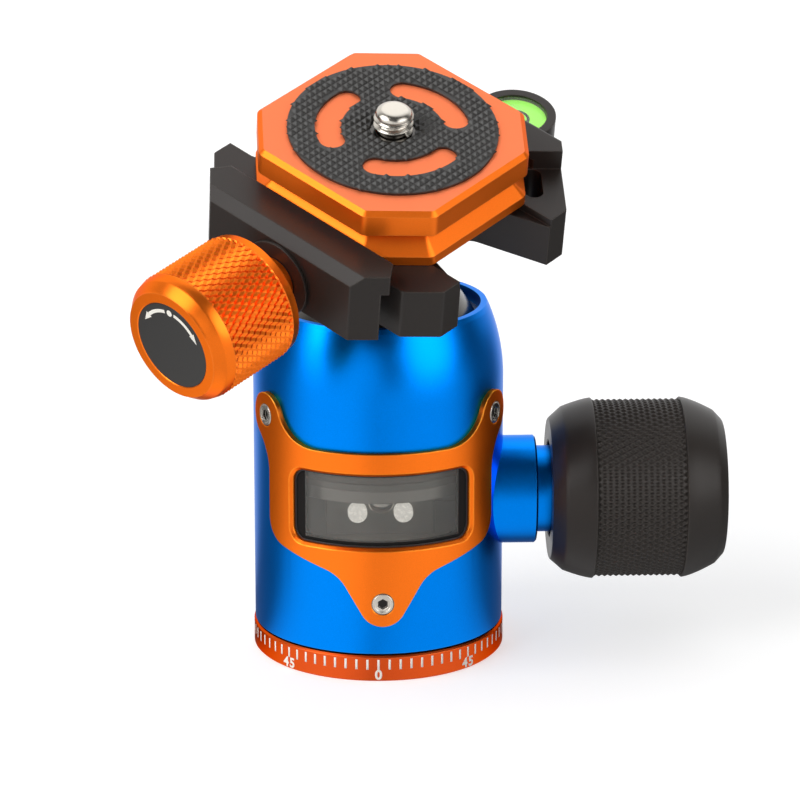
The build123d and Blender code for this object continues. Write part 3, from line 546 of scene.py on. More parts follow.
class HEAD_OT_finishes(bpy.types.Operator):
    """Make the finishes and give each solid its own"""

    bl_idname = "ball_head.finishes"
    bl_label = "Finishes"

    def execute(self, context):
        tone = context.scene.head_colours
        surface_group()
        # Edge share 0.5 paints a light line on the rims: partly wear, partly painted highlight.
        finish(
            "Blue anodised", tone.blue, tone.blue_pale, 0.31, 1.0, (7000.0, 0.3), 0.06, 0.5, 0.006,
            edge=ANODISED_EDGE, Specular_Tint=BLUE_TINT,
        )
        finish(
            "Ring", tone.ring, tone.orange_pale, 0.36, 1.0, (7000.0, 0.2), 0.06, 0.35, 0.006,
            edge=ANODISED_EDGE, Specular_Tint=ORANGE_TINT,
        )
        # The bracket's edges take the bevel colour strongly: a painted highlight, partly wear.
        finish(
            "Bracket", tone.orange, tone.bevel, 0.34, 0.9, (7000.0, 0.2), 0.06, 0.8, 0.006,
            Specular_Tint=ORANGE_TINT,
        )
        finish(
            "Knurled orange", tone.orange, tone.orange_pale, 0.3, 0.85, (7000.0, 0.2), 0.06, 0.3, 0.004,
            edge=KNURL_EDGE, Specular_Tint=ORANGE_TINT,
        )
        plate = finish(
            "Blasted plate", tone.orange, tone.orange_pale, 0.36, 0.7, (7000.0, 0.2), 0.06, 0.35, 0.006,
            edge=ANODISED_EDGE, Specular_Tint=ORANGE_TINT,
        )
        # Painted sheen: the plate's top faces are drawn paler, and rougher as blasted.
        blast_top(plate, HEAD.to_3x3() @ Vector((0, 0, 1)), tone.plate_top)
        # Edge share 0.6 paints light lines on the bevels: partly wear, partly painted highlight.
        finish(
            "Black anodised", tone.black, tone.black_pale, 0.38, 0.0, (6000.0, 0.3), 0.12, 0.6, 0.012,
            Specular_IOR_Level=0.22,
        )
        finish("Hard-coated", tone.dark_metal, tone.steel, 0.24, 1.0, (900.0, 0.05), 0.08, 0.0, 0.002)
        finish("Plain aluminium", tone.steel, tone.mark, 0.38, 1.0, (2500.0, 0.15), 0.15, 0.2, 0.006)
        finish("Pale aluminium", tone.pale, tone.steel, 0.4, 0.8, (2500.0, 0.15), 0.15, 0.4, 0.006)
        finish("Dull aluminium", tone.dull, tone.steel, 0.45, 0.6, (2500.0, 0.15), 0.15, 0.2, 0.006)
        # Screw ends: near-white and glowing, painted light that brightens them in the dim chamber behind
        # the window.
        finish(
            "Screw ends", tone.mark, tone.mark, 0.25, 0.2, (1400.0, 1.2), 0.4, 0.2, 0.02,
            Emission_Color=(*tone.mark, 1), Emission_Strength=0.85,
        )
        finish("Bright steel", tone.steel, tone.mark, 0.2, 1.0, (3000.0, 0.08), 0.1, 0.2, 0.003)
        finish("Grey plastic", tone.black_pale, tone.mark, 0.45, 0.0, (4000.0, 0.1), 0.1, 0.1, 0.006)
        finish("Black rubber", tone.rubber, tone.black_pale, 0.4, 0.0, (3500.0, 0.35), 0.2, 0.15, 0.02)
        finish("Black gasket", (0.006, 0.006, 0.006), tone.rubber, 0.5, 0.0, (3500.0, 0.3), 0.2, 0.1, 0.01)
        # Socket: painted shade for the screws' hex sockets and the gap round their heads.
        finish("Socket", tone.rubber, tone.steel, 0.3, 0.6, (3000.0, 0.3), 0.3, 0.6, 0.01)
        finish("Label", tone.rubber, tone.black_pale, 0.5, 0.0, (5000.0, 0.2), 0.1, 0.1, 0.008)
        # The marks glow a little: painted light that keeps them bright.
        finish(
            "Printed mark", tone.mark, tone.mark, 0.5, 0.0, (5000.0, 0.06), 0.05, 0.0, 0.004,
            Emission_Color=(*tone.mark, 1), Emission_Strength=0.15,
        )
        # The liquid glows: painted light that keeps the level bright green.
        finish(
            "Level liquid", tone.liquid, tone.liquid, 0.3, 0.0, (1200.0, 0.06), 0.15, 0.0, 0.0005,
            Emission_Color=(*tone.liquid, 1), Emission_Strength=0.55,
        )
        window = finish(
            "Smoked window", SMOKE, SMOKE, 0.04, 0.0, (900.0, 0.2), 0.2, 0.0, 0.002,
            Specular_IOR_Level=0.25,
        )
        black_border(window, HAZE)
        lens = finish(
            "Lens", (0.9, 1.0, 0.85), (1, 1, 1), 0.05, 0.0, (900.0, 0.05), 0.05, 0.0, 0.0002,
            Alpha=0.08, Specular_IOR_Level=0.5,
        )
        for clear in (window, lens):
            clear.use_backface_culling = False
        for name, nodes in FINISH_OF.items():
            for node in nodes:
                solid = frame["nodes"][node]
                if not solid.material_slots:
                    solid.data.materials.append(bpy.data.materials[name])
                for place in solid.material_slots:
                    place.material = bpy.data.materials[name]
        missed = set(frame["nodes"]) - {node for nodes in FINISH_OF.values() for node in nodes}
        if missed:
            raise RuntimeError(f"no finish for {sorted(missed)}")
        return {"FINISHED"}


# ==== Knobs: heights are along each knob's own axis, radii from it =================
LOCK_BAND = (35.9, 50.5)
LOCK_R = 15.2
LOCK_GRID = (15, 168)       # rows and columns of half diamonds
CLAMP_BAND = (33.6, 46.3)
CLAMP_R = 11.05
CLAMP_GRID = (12, 104)
TURNED_SMOOTH = 24.0


class HEAD_OT_lock_knob(bpy.types.Operator):
    """Model the lock knob with its band of fine knurling"""

    bl_idname = "ball_head.lock_knob"
    bl_label = "Lock knob"

    def execute(self, context):
        (band_low, band_high), radius, (rows, columns) = LOCK_BAND, LOCK_R, LOCK_GRID
        profile = [(31.6, 4.06), (31.6, 8.2), (28.7, 8.2), (28.6, 8.3), (28.6, 11.75), (28.72, 11.95)]
        profile += [(30.55, 13.57)]
        profile += swell(30.75, 13.75, band_low - 0.25, radius - 0.02, 8)
        profile += [(band_low - 0.12, radius - 0.1), (band_low, radius - 0.2)]
        profile += band_rings(band_low, band_high, rows, radius)
        profile += [(band_high, radius - 0.2), (band_high + 0.12, radius - 0.1)]
        profile += reversed(swell(56.2, 12.98, band_high + 0.25, radius - 0.02, 8))
        profile += [(56.35, 12.86), (57.6, 11.5), (57.7, 11.35), (57.7, 8.65), (57.6, 8.52), (56.2, 8.52)]
        profile += [(56.2, 3.0)]
        knob = turn("lock_knob_grip", profile, columns)
        knurl(knob, band_low, band_high, rows, columns, radius, context.scene.head_sizes.knurl_soft / MM)
        close(knob, LOCK_PLACE, TURNED_SMOOTH)
        dress(knob, "lock", "black_anodised", "Black anodised", "lock_knob")
        return {"FINISHED"}


class HEAD_OT_clamp_knob(bpy.types.Operator):
    """Model the clamp knob with its sharp diamond knurling"""

    bl_idname = "ball_head.clamp_knob"
    bl_label = "Clamp knob"

    def execute(self, context):
        (band_low, band_high), radius, (rows, columns) = CLAMP_BAND, CLAMP_R, CLAMP_GRID
        profile = [(26.45, 2.6), (26.45, 3.8), (26.55, 3.9), (31.45, 3.9), (31.45, 9.3), (31.52, 9.5)]
        profile += [(31.95, 10.3), (32.05, 10.4), (band_low - 0.3, 10.55), (band_low - 0.12, 10.6)]
        profile += band_rings(band_low, band_high, rows, radius)
        profile += [(band_high + 0.12, 10.66), (band_high + 0.4, 10.62)]
        profile += [(47.95, 10.3), (48.1, 10.2), (49.3, 9.25), (49.45, 9.12), (49.65, 9.0)]
        profile += [(49.65, 7.4), (49.55, 7.28), (49.05, 7.27), (49.05, 1.0)]
        knob = turn("clamp_knob_grip", profile, columns)
        knurl(knob, band_low, band_high, rows, columns, radius, context.scene.head_sizes.knurl_deep / MM)
        close(knob, CLAMP_KNOB_PLACE, TURNED_SMOOTH)
        dress(knob, "tightener", "orange_anodised", "Knurled orange", "clamp_knob")
        return {"FINISHED"}


def band(name, inner, outer, height, thickness, keep, sides=192):
    """Open a flat ring, cut down to the faces whose angle in degrees passes a test."""
    clear_selection()
    bpy.ops.mesh.primitive_circle_add(
        vertices=sides, radius=outer * MM, fill_type="NGON", location=(0, 0, height * MM)
    )
    settle()
    ring = start(name)
    bpy.ops.mesh.select_mode(type="FACE")
    select_mesh()
    bpy.ops.mesh.inset(thickness=(outer - inner) * math.cos(math.pi / sides) * MM)

    def spare(place):
        angle = math.degrees(math.atan2(place.y, place.x)) % 360
        return place.xy.length < inner * 0.9 or not keep(angle)

    pick(ring, "faces", spare)
    bpy.ops.mesh.delete(type="FACE")
    select_mesh()
    pull(thickness)
    return ring


LABEL_FACE = 49.55
MARK_ANGLE = 97.0           # where the dot stands
ARC_IN, ARC_MIDDLE, ARC_OUT = 5.66, 5.95, 6.24
ARC_SPAN = (9, 52)          # degrees from the dot
ARROW_TURN = 55
ARROW_R = 0.85
ARROW_SHAPE = (0.8, 1.35, 1)
DOT_R = 0.55


def round_the_label(angle):
    """Place on the arrows' circle, in metres, at an angle in radians."""
    return ARC_MIDDLE * math.cos(angle) * MM, ARC_MIDDLE * math.sin(angle) * MM


class HEAD_OT_label_marks(bpy.types.Operator):
    """Put two plain arrows and a dot on the clamp knob's end"""

    bl_idname = "ball_head.label_marks"
    bl_label = "Label marks"

    def execute(self, context):
        lift = context.scene.head_sizes.mark_lift / MM
        marks = []
        for side in (-1, 1):
            def inside(angle, side=side):
                off = ((angle - MARK_ANGLE + 180) % 360 - 180) * side
                return ARC_SPAN[0] < off < ARC_SPAN[1]

            arc = band("mark_arc", ARC_IN, ARC_OUT, LABEL_FACE, lift, inside)
            marks.append(close(arc, UPRIGHT))
            clear_selection()
            bpy.ops.mesh.primitive_cylinder_add(
                vertices=3, radius=ARROW_R * MM, depth=lift * MM,
                location=(0, 0, (LABEL_FACE + lift / 2) * MM),
            )
            settle()
            arrow = start("mark_arrow")
            select_mesh()
            resize(*ARROW_SHAPE)
            tip = math.radians(MARK_ANGLE + side * ARROW_TURN)
            swing = tip + side * math.pi / 2 - math.pi / 2
            seat = Matrix.Translation((*round_the_label(tip), 0)) @ Matrix.Rotation(swing, 4, "Z")
            marks.append(close(arrow, seat))
        clear_selection()
        bpy.ops.mesh.primitive_cylinder_add(
            vertices=24, radius=DOT_R * MM, depth=lift * MM,
            location=(*round_the_label(math.radians(MARK_ANGLE)), (LABEL_FACE + lift / 2) * MM),
        )
        settle()
        dot = start("mark_dot")
        bpy.ops.mesh.select_mode(type="EDGE")
        select_mesh()
        bpy.ops.mesh.bevel(offset=0.004 * MM, segments=1)
        marks.append(close(dot, UPRIGHT))
        label = join(marks, "label_marks", CLAMP_KNOB_PLACE)
        dress(label, "tightener", "black_label", "Printed mark")
        return {"FINISHED"}


def join(pieces, name, place=UPRIGHT):
    """One piece out of several finished ones, put in its place."""
    clear_selection()
    for piece in pieces:
        piece.select_set(True)
    bpy.context.view_layer.objects.active = pieces[0]
    bpy.ops.object.join()
    joined = bpy.context.object
    joined.name = name
    joined.data.name = name
    joined.matrix_world = place
    settle()
    return joined


# ==== Screws of the bracket =======================================================
BRACKET_R = 21.7
EAR_ANGLE = 60.6
EAR_Z = 43.0
TAIL_Z = 13.7
HEX_R = 0.92
HEX_DEPTH = 0.5
RECESS_Z = -0.04            # floor of the dish round the hex socket


def bracket_place(angle, height):
    """Place on the bracket's outside, in degrees to the right of the front, facing out."""
    return (
        Matrix.Rotation(math.radians(angle), 4, "Z")
        @ Matrix.Translation((0, -BRACKET_R * MM, height * MM))
        @ Matrix.Rotation(math.radians(90), 4, "X")
    )


class HEAD_OT_screw_heads(bpy.types.Operator):
    """Model one countersunk screw with its hex socket and put three in the bracket"""

    bl_idname = "ball_head.screw_heads"
    bl_label = "Bracket screws"

    def execute(self, context):
        profile = [(-3.0, 0.95), (-0.95, 0.95), (-0.06, 1.86), (-0.06, 1.72), (0.0, 1.72), (0.04, 1.66)]
        screw = turn("screw", profile + [(0.04, 1.36), (-0.02, 1.28), (-0.04, 1.05)], 48)
        bpy.ops.mesh.select_all(action="DESELECT")
        bpy.ops.mesh.primitive_circle_add(
            vertices=6, radius=HEX_R * MM, fill_type="NOTHING", location=(0, 0, RECESS_Z * MM)
        )
        pick(screw, "vertices", lambda place: place.z > -0.05 and place.xy.length < 1.15)
        bpy.ops.mesh.select_mode(type="EDGE")
        bpy.ops.mesh.bridge_edge_loops()
        pick(screw, "vertices", lambda place: place.xy.length < 0.93)
        bpy.ops.mesh.select_mode(type="EDGE")
        pull(-HEX_DEPTH)
        bpy.ops.mesh.edge_face_add()
        pick(screw, "vertices", lambda place: place.z < -2.9)
        bpy.ops.mesh.edge_face_add()
        close(screw, UPRIGHT, TURNED_SMOOTH)
        screw.data.materials.append(bpy.data.materials["Bright steel"])
        screw.data.materials.append(bpy.data.materials["Socket"])
        # Faces of the hex socket and of the gap round the head take the Socket finish: painted shade.
        for face in screw.data.polygons:
            radius, height = face.center.xy.length / MM, face.center.z / MM
            shaded_socket_face = radius < 0.9 and -0.9 < height < -0.1
            face.material_index = int(shaded_socket_face or (radius > 1.72 and -0.08 < height < -0.02))
        heads = []
        for angle, height in ((EAR_ANGLE, EAR_Z), (-EAR_ANGLE, EAR_Z), (0, TAIL_Z)):
            clear_selection()
            head = screw.copy()
            head.data = screw.data.copy()
            context.scene.collection.objects.link(head)
            head.matrix_world = bracket_place(angle, height)
            head.select_set(True)
            context.view_layer.objects.active = head
            settle()
            heads.append(head)
        bpy.data.objects.remove(screw)
        joined = join(heads, "bracket_screw_heads")
        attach(joined, "shell")
        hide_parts("bracket_screws")
        clear_selection()
        return {"FINISHED"}


# ==== Pad and camera screw ========================================================
PAD_R = 16.8
PAD_HOLE_R = 3.7
PAD_WINDOWS = ((90, 33), (210, 33), (330, 33))
PAD_WINDOW_IN = 8.2
PAD_WINDOW_OUT = 12.4
PAD_H = 1.0
STUD_CLEAR = 0.3            # share of the pitch kept free at the pad's outline
STUD_TAPER = 0.40           # share of the pitch that a stud's side leans in
STUD_BLUNT = 0.03
STUD_FOOT = 0.03
SCREW_PROUD = 4.25          # camera screw's end above the plate
THREAD_SUNK = 1.2           # thread's start below the pad's top


def pad_clearance(place):
    """How far inside the pad's outline a place lies, in millimetres; negative is outside."""
    radius = place.xy.length
    angle = math.degrees(math.atan2(place.y, place.x))
    room = min(PAD_R - radius, radius - PAD_HOLE_R)
    middle = (PAD_WINDOW_IN + PAD_WINDOW_OUT) / 2
    half = (PAD_WINDOW_OUT - PAD_WINDOW_IN) / 2
    for centre, spread in PAD_WINDOWS:
        off = (angle - centre + 180) % 360 - 180
        near = math.radians(centre + max(-spread, min(spread, off)))
        gap = math.hypot(place.x - middle * math.cos(near), place.y - middle * math.sin(near)) - half
        room = min(room, gap)
    return room


class HEAD_OT_rubber_pad(bpy.types.Operator):
    """Model the rubber pad: a low sheet with rows of blunt studs"""

    bl_idname = "ball_head.rubber_pad"
    bl_label = "Rubber pad"

    def execute(self, context):
        sizes = context.scene.head_sizes
        pitch = sizes.pad_pitch / MM
        relief = sizes.pad_relief / MM
        sheet_top = PLATE_TOP + PAD_H - relief
        clear_selection()
        solid = frame["nodes"]["rubber_pad"]
        sheet = solid.copy()
        sheet.data = solid.data.copy()
        context.scene.collection.objects.link(sheet)
        sheet.parent = None
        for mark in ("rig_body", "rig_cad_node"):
            del sheet[mark]
        sheet.matrix_world = HEAD.inverted()
        sheet.select_set(True)
        context.view_layer.objects.active = sheet
        settle()
        start("pad_sheet")
        bpy.ops.mesh.select_mode(type="VERT")
        select_mesh()
        bpy.ops.mesh.remove_doubles(threshold=MERGE * MM)
        pick(sheet, "vertices", lambda place: place.z > PLATE_TOP + 0.5)
        bpy.ops.transform.translate(value=(0, 0, -relief * MM))
        close(sheet, UPRIGHT)
        count = 2 * math.ceil(PAD_R / pitch)
        clear_selection()
        bpy.ops.mesh.primitive_grid_add(
            x_subdivisions=count, y_subdivisions=count, size=count * pitch * MM,
            location=(0, 0, (sheet_top + 0.002) * MM),
        )
        settle()
        studs = start("pad_studs")
        pick(studs, "faces", lambda place: pad_clearance(place) < pitch * STUD_CLEAR)
        bpy.ops.mesh.delete(type="FACE")
        select_mesh()
        bpy.ops.mesh.edge_split(type="EDGE")
        pull(STUD_FOOT)
        bpy.ops.mesh.inset(
            use_individual=True, thickness=pitch * STUD_TAPER * MM, depth=(relief - 0.04) * MM
        )
        bpy.ops.mesh.inset(use_individual=True, thickness=pitch * STUD_BLUNT * MM, depth=0.0)
        close(studs, UPRIGHT, 20.0)
        pad = join([sheet, studs], "pad_studded", HEAD)
        dress(pad, "plate", "black_rubber", "Black rubber", "rubber_pad")
        return {"FINISHED"}


class HEAD_OT_camera_screw(bpy.types.Operator):
    """Model the camera screw with its real thread and its head"""

    bl_idname = "ball_head.camera_screw"
    bl_label = "Camera screw"

    def execute(self, context):
        pitch = context.scene.head_sizes.thread_pitch / MM
        head_low, head_high, neck, root, crest = 42.59, 45.19, 2.5, 2.45, 3.175
        pad_top, top = PLATE_TOP + PAD_H, PLATE_TOP + SCREW_PROUD
        profile = [(head_low, 0.9), (head_low, 6.0), (head_low + 0.2, 6.2), (head_high - 0.2, 6.2)]
        profile += [(head_high, 6.0), (head_high, neck), (pad_top, neck), (pad_top + 0.1, root)]
        profile += [(top - 1.1, root), (top - 1.0, 2.95), (top - 0.55, 2.75), (top - 0.2, 2.35)]
        profile += [(top - 0.05, 1.95), (top, 1.6)]
        core = turn("screw_core", profile, 64)
        bpy.ops.mesh.edge_face_add()
        close(core, UPRIGHT, TURNED_SMOOTH)
        clear_selection()
        thread_low, thread_high = pad_top - THREAD_SUNK, top - 0.95
        turns = (thread_high - thread_low) / pitch - 0.5
        half = (crest - root) / 2
        middle = thread_low + pitch * 0.4
        bpy.ops.mesh.primitive_plane_add(
            size=2 * half * MM, rotation=(math.radians(90), 0, 0),
            location=((root + half) * MM, 0, middle * MM),
        )
        settle()
        ridge = start("screw_thread")
        pick(ridge, "vertices", lambda place: place.x > root + half)
        resize(1, 1, 0.2, middle * MM)
        pick(ridge, "vertices", lambda place: place.x < root + half)
        resize(1, 1, 1.55, middle * MM)
        bpy.ops.transform.translate(value=(-0.05 * MM, 0, 0))
        bpy.ops.object.mode_set(mode="OBJECT")
        screw = ridge.modifiers.new("Thread", "SCREW")
        screw.axis = "Z"
        screw.angle = 2 * math.pi * turns
        screw.screw_offset = pitch * turns * MM
        screw.steps = screw.render_steps = round(64 * turns)
        screw.use_normal_calculate = True
        bpy.ops.object.modifier_apply(modifier="Thread")
        bpy.ops.object.mode_set(mode="EDIT")
        bpy.ops.mesh.select_mode(type="EDGE")
        bpy.ops.mesh.select_all(action="DESELECT")
        bpy.ops.mesh.select_non_manifold(use_wire=False, use_multi_face=False, use_non_contiguous=False)
        bpy.ops.mesh.edge_face_add()
        close(ridge, UPRIGHT, 35.0)
        whole = join([core, ridge], "camera_screw_threaded", HEAD)
        dress(whole, "camera", "nickel", "Bright steel", "camera_screw")
        return {"FINISHED"}


# ==== Scale on the base ring ======================================================
RING_R = 21.0
ZERO_ANGLE = -1.9
SCALE_STEP = 5
NUMBER_STEP = 45
TICK_TOP = 3.8
DIGIT_WIDTH = 1.4
DIGIT_RISE = 0.18           # digits' top above the lines' lower end
DIGIT_SINK = 0.04
DIGIT_BOLD = 0.085          # more than this folds the counter of the 9
TICK_THICK = 0.11
TICK_SINK = 0.047
TICK_BEVEL = 0.03


def ring_place(angle):
    """Place on the base ring's side, in degrees to the right of the front, facing out."""
    return (
        Matrix.Rotation(math.radians(angle), 4, "Z")
        @ Matrix.Translation((0, -RING_R * MM, 0))
        @ Matrix.Rotation(math.radians(90), 4, "X")
    )


class HEAD_OT_scale(bpy.types.Operator):
    """Put the degree lines and numbers round the base ring"""

    bl_idname = "ball_head.scale"
    bl_label = "Degree scale"

    def execute(self, context):
        sizes = context.scene.head_sizes
        width, high = sizes.tick_width / MM, sizes.tick_length / MM
        marks = []
        for line in range(0, 360, SCALE_STEP):
            clear_selection()
            bpy.ops.mesh.primitive_cube_add(size=MM, location=(0, 0, 0))
            tick = start("tick")
            select_mesh()
            resize(width, high, TICK_THICK)
            bpy.ops.transform.translate(value=(0, (TICK_TOP - high / 2) * MM, -TICK_SINK * MM))
            bpy.ops.mesh.select_mode(type="EDGE")
            bpy.ops.mesh.bevel(offset=TICK_BEVEL * MM, segments=2)
            marks.append(close(tick, ring_place(ZERO_ANGLE + line)))
        for number in range(0, 360, NUMBER_STEP):
            shown = str(min(number, 360 - number))
            for column, digit in enumerate(shown):
                clear_selection()
                bpy.ops.object.text_add(location=(0, 0, 0))
                words = bpy.context.object
                words.data.body = digit
                words.data.size = sizes.numeral_height
                words.data.align_x = "CENTER"
                words.data.align_y = "TOP"
                words.data.extrude = 0.05 * MM
                words.data.resolution_u = 6
                words.data.offset = DIGIT_BOLD * MM
                bpy.ops.object.convert(target="MESH")
                numeral = start("numeral")
                select_mesh()
                rise = TICK_TOP - high + DIGIT_RISE
                bpy.ops.transform.translate(value=(0, rise * MM, -DIGIT_SINK * MM))
                aside = math.degrees((column - (len(shown) - 1) / 2) * DIGIT_WIDTH / RING_R)
                marks.append(close(numeral, ring_place(ZERO_ANGLE + number + aside)))
        scale = join(marks, "degree_scale")
        dress(scale, "base", "orange_anodised", "Printed mark")
        return {"FINISHED"}


# ==== Level =======================================================================
VIAL_TOP = 33.58
WINDOW_R = 5.17
WINDOW_H = 0.6
WINDOW_RISE = 0.37          # window's middle above the vial, which it stays clear of
TARGET_IN, TARGET_OUT = 1.9, 2.4
TARGET_RISE = 0.01
TARGET_H = 0.03
BUBBLE_R = 1.35
BUBBLE_FLAT = 0.22
BUBBLE_OFF = 2.6            # the bubble has run uphill, away from the target
LEVEL_PLACE = HEAD @ Matrix.Translation((0, LEVEL_Y * MM, 0))


class HEAD_OT_level(bpy.types.Operator):
    """Put the window, the target ring and the bubble in the level"""

    bl_idname = "ball_head.level"
    bl_label = "Level"

    def execute(self, context):
        clear_selection()
        bpy.ops.mesh.primitive_cylinder_add(
            vertices=96, radius=WINDOW_R * MM, depth=WINDOW_H * MM,
            location=(0, 0, (VIAL_TOP + WINDOW_RISE) * MM),
        )
        settle()
        window = start("level_window")
        close(window, LEVEL_PLACE)
        dress(window, "clamp", "clear_plastic", "Lens", "level_lens")
        ring = band(
            "level_target", TARGET_IN, TARGET_OUT, VIAL_TOP + TARGET_RISE, TARGET_H, lambda angle: True, 96
        )
        close(ring, LEVEL_PLACE)
        dress(ring, "clamp", "black_label", "Black gasket")
        clear_selection()
        bpy.ops.mesh.primitive_uv_sphere_add(segments=32, ring_count=16, radius=BUBBLE_R * MM)
        bubble = start("level_bubble")
        select_mesh()
        resize(1, 1, BUBBLE_FLAT)
        pick(bubble, "vertices", lambda place: place.z < -0.05)
        resize(0.92, 0.92, 0.4)
        uphill = Matrix.Rotation(math.radians(-HEAD_SPIN), 4, "Z") @ Vector((0, BUBBLE_OFF, 0))
        seat = Matrix.Translation((uphill.x * MM, (LEVEL_Y + uphill.y) * MM, VIAL_TOP * MM))
        close(bubble, HEAD @ seat, 60.0)
        dress(bubble, "clamp", "clear_plastic", "Lens")
        return {"FINISHED"}


# ==== Stage =======================================================================
CAMERA_PLACE = (-20.94, -639.59, 235.38)
CAMERA_TARGET = (3.63, -0.14, 42.10)
CAMERA_LENS = 180.46
SENSOR_WIDTH = 36.0
PAPER = 0.55
PAPER_LIFT = 0.58
SKY = 0.45
SHADE = 0.08
# Bright panels that reflections find: azimuth from the front to the right, elevation, the angles
# where each is full and where it ends, and its level
PANELS = (
    (-63.0, 15.0, 5.0, 25.0, 2.6),
    (50.0, 19.0, 8.0, 35.0, 3.6),
    (-20.0, 2.0, 10.0, 30.0, 1.4),
    (180.0, 25.0, 40.0, 78.0, 1.2),
)
FLOOR_SHADE = 0.24
FLOOR_SIZE = 12.0           # metres
FLOOR_Z = -0.00002
# Name, strength, apparent size, azimuth and elevation
LAMPS = (("key", 1.9, 46.0, -58.0, 38.0), ("top", 0.4, 60.0, 150.0, 65.0))
# Bright stretches of the floor, given in the same way
FLOOR_GLOWS = (
    (-43.0, 0.0, 8.0, 60.0, 1.36),
    (35.0, 0.0, 15.0, 70.0, 1.1),
    (180.0, 0.0, 20.0, 62.0, 1.2),
)


def lamp(name, energy, angle, azimuth, elevation):
    """A broad soft light from a compass direction, measured from the front to the right."""
    light = bpy.data.lights.new(name, "SUN")
    light.energy = energy
    light.angle = math.radians(angle)
    shown = bpy.data.objects.new(name, light)
    bpy.context.scene.collection.objects.link(shown)
    shown.matrix_world = heading(azimuth, elevation).to_track_quat("Z", "Y").to_matrix().to_4x4()


def heading(azimuth, elevation):
    """Unit vector of a compass direction, in degrees from the front to the right and up."""
    around, up = math.radians(azimuth), math.radians(elevation)
    return Vector((math.sin(around) * math.cos(up), -math.cos(around) * math.cos(up), math.sin(up)))


def glow(tree, direction, shade, patches):
    """Brightness that a reflection finds in a direction: soft bright patches in a dim room."""
    bright = shade
    for azimuth, elevation, full, end, level in patches:
        near = cosine(tree, direction, heading(azimuth, elevation))
        low, high = math.cos(math.radians(end)), math.cos(math.radians(full))
        bright = compute(tree, "MAXIMUM", ramp(tree, near, low, high, 0.0, level), bright)
    return bright


def sweep_material():
    """White paper: it keeps shadows, and reads as white to the camera and in reflections."""
    paper = bpy.data.materials.new("White sweep")
    paper.use_nodes = True
    tree = paper.node_tree
    shader = tree.nodes["Principled BSDF"]
    shader.inputs["Base Color"].default_value = (PAPER, PAPER, PAPER, 1)
    shader.inputs["Roughness"].default_value = 0.8
    shader.inputs["Specular IOR Level"].default_value = 0.1
    rays = tree.nodes.new("ShaderNodeLightPath").outputs
    lift = tree.nodes.new("ShaderNodeEmission")
    seen = compute(tree, "MAXIMUM", rays["Is Camera Ray"], rays["Is Transmission Ray"])
    link_value(tree, compute(tree, "MULTIPLY", seen, PAPER_LIFT), lift.inputs["Strength"])
    lit = tree.nodes.new("ShaderNodeAddShader")
    tree.links.new(shader.outputs[0], lit.inputs[0])
    tree.links.new(lift.outputs[0], lit.inputs[1])
    towards = tree.nodes.new("ShaderNodeVectorMath")
    towards.operation = "NORMALIZE"
    tree.links.new(coordinates(tree, "Object"), towards.inputs[0])
    bright = glow(tree, towards.outputs["Vector"], FLOOR_SHADE, FLOOR_GLOWS)
    mirrored = tree.nodes.new("ShaderNodeEmission")
    link_value(tree, bright, mirrored.inputs["Strength"])
    either = tree.nodes.new("ShaderNodeMixShader")
    tree.links.new(rays["Is Glossy Ray"], either.inputs[0])
    tree.links.new(lit.outputs[0], either.inputs[1])
    tree.links.new(mirrored.outputs[0], either.inputs[2])
    tree.links.new(either.outputs[0], tree.nodes["Material Output"].inputs["Surface"])
    return paper


def studio_world():
    """Even light all round, white where it is seen, with darker sides in reflections."""
    world = bpy.data.worlds.new("Studio")
    world.use_nodes = True
    tree = world.node_tree
    back = tree.nodes["Background"]
    back.inputs["Color"].default_value = (1, 1, 1, 1)
    mirrored = glow(tree, coordinates(tree, "Generated"), SHADE, PANELS)
    rays = tree.nodes.new("ShaderNodeLightPath").outputs
    seen = compute(tree, "MAXIMUM", rays["Is Camera Ray"], rays["Is Transmission Ray"])
    light = blend_value(tree, rays["Is Glossy Ray"], SKY, mirrored)
    link_value(tree, blend_value(tree, seen, light, 1.0), back.inputs["Strength"])
    return world


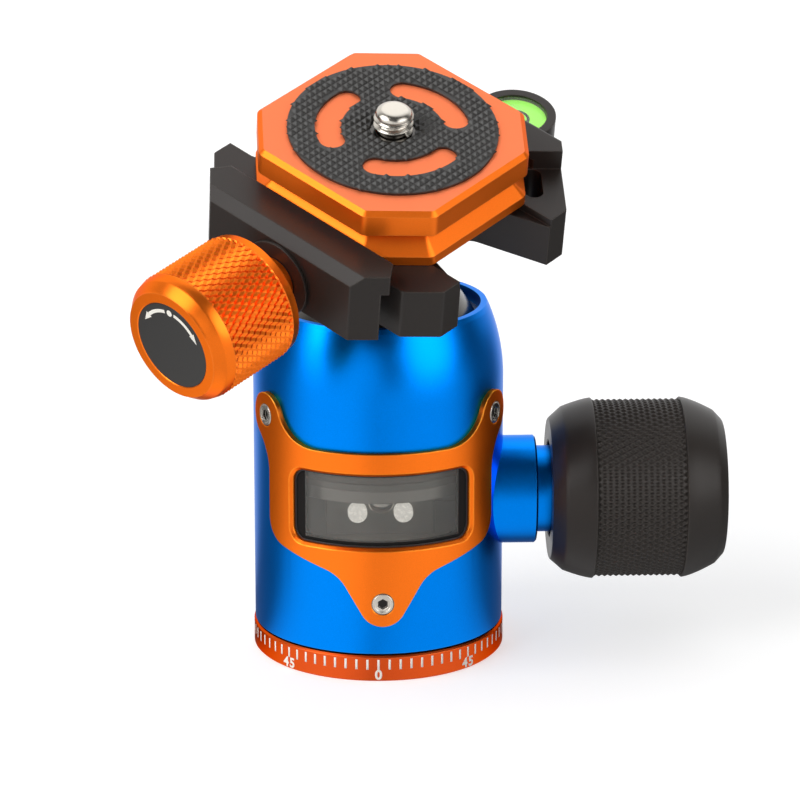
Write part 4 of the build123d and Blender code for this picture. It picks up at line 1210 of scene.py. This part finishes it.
class HEAD_OT_stage(bpy.types.Operator):
    """Set up the floor, the lights and the camera"""

    bl_idname = "ball_head.stage"
    bl_label = "Stage"

    def execute(self, context):
        scene = context.scene
        scene.view_settings.view_transform = "Standard"
        clear_selection()
        bpy.ops.mesh.primitive_plane_add(size=FLOOR_SIZE, location=(0, 0, FLOOR_Z))
        floor = context.object
        floor.name = "floor"
        floor.data.materials.append(sweep_material())
        scene.world = studio_world()

        for each in LAMPS:
            lamp(*each)

        eye = bpy.data.cameras.new("camera")
        eye.lens = CAMERA_LENS
        eye.sensor_width = SENSOR_WIDTH
        eye.sensor_fit = "HORIZONTAL"
        eye.clip_start = 0.05
        eye.clip_end = 50.0
        camera = bpy.data.objects.new("camera", eye)
        scene.collection.objects.link(camera)
        place = Vector(CAMERA_PLACE) * MM
        look = (Vector(CAMERA_TARGET) * MM - place).to_track_quat("-Z", "Y")
        camera.matrix_world = Matrix.Translation(place) @ look.to_matrix().to_4x4()
        scene.camera = camera
        return {"FINISHED"}


class HEAD_PT_panel(bpy.types.Panel):
    """Sidebar panel with the sizes, the colours and a button for each piece"""

    bl_label = "Ball head"
    bl_idname = "HEAD_PT_panel"
    bl_space_type = "VIEW_3D"
    bl_region_type = "UI"
    bl_category = "Ball head"

    def draw(self, context):
        for group in (context.scene.head_sizes, context.scene.head_colours):
            box = self.layout.box()
            for name in group.__annotations__:
                box.prop(group, name)
        for operator in OPERATORS:
            self.layout.operator(operator.bl_idname)


OPERATORS = (
    HEAD_OT_finishes,
    HEAD_OT_lock_knob,
    HEAD_OT_clamp_knob,
    HEAD_OT_label_marks,
    HEAD_OT_screw_heads,
    HEAD_OT_rubber_pad,
    HEAD_OT_camera_screw,
    HEAD_OT_scale,
    HEAD_OT_level,
    HEAD_OT_stage,
)


def register():
    for kind in (HeadSizes, HeadColours, *OPERATORS, HEAD_PT_panel):
        bpy.utils.register_class(kind)
    bpy.types.Scene.head_sizes = bpy.props.PointerProperty(type=HeadSizes)
    bpy.types.Scene.head_colours = bpy.props.PointerProperty(type=HeadColours)


def unregister():
    del bpy.types.Scene.head_colours
    del bpy.types.Scene.head_sizes
    for kind in reversed((HeadSizes, HeadColours, *OPERATORS, HEAD_PT_panel)):
        bpy.utils.unregister_class(kind)


def main():
    register()
    for operator in OPERATORS:
        family, action = operator.bl_idname.split(".")
        getattr(getattr(bpy.ops, family), action)()


if __name__ == "__main__":
    main()
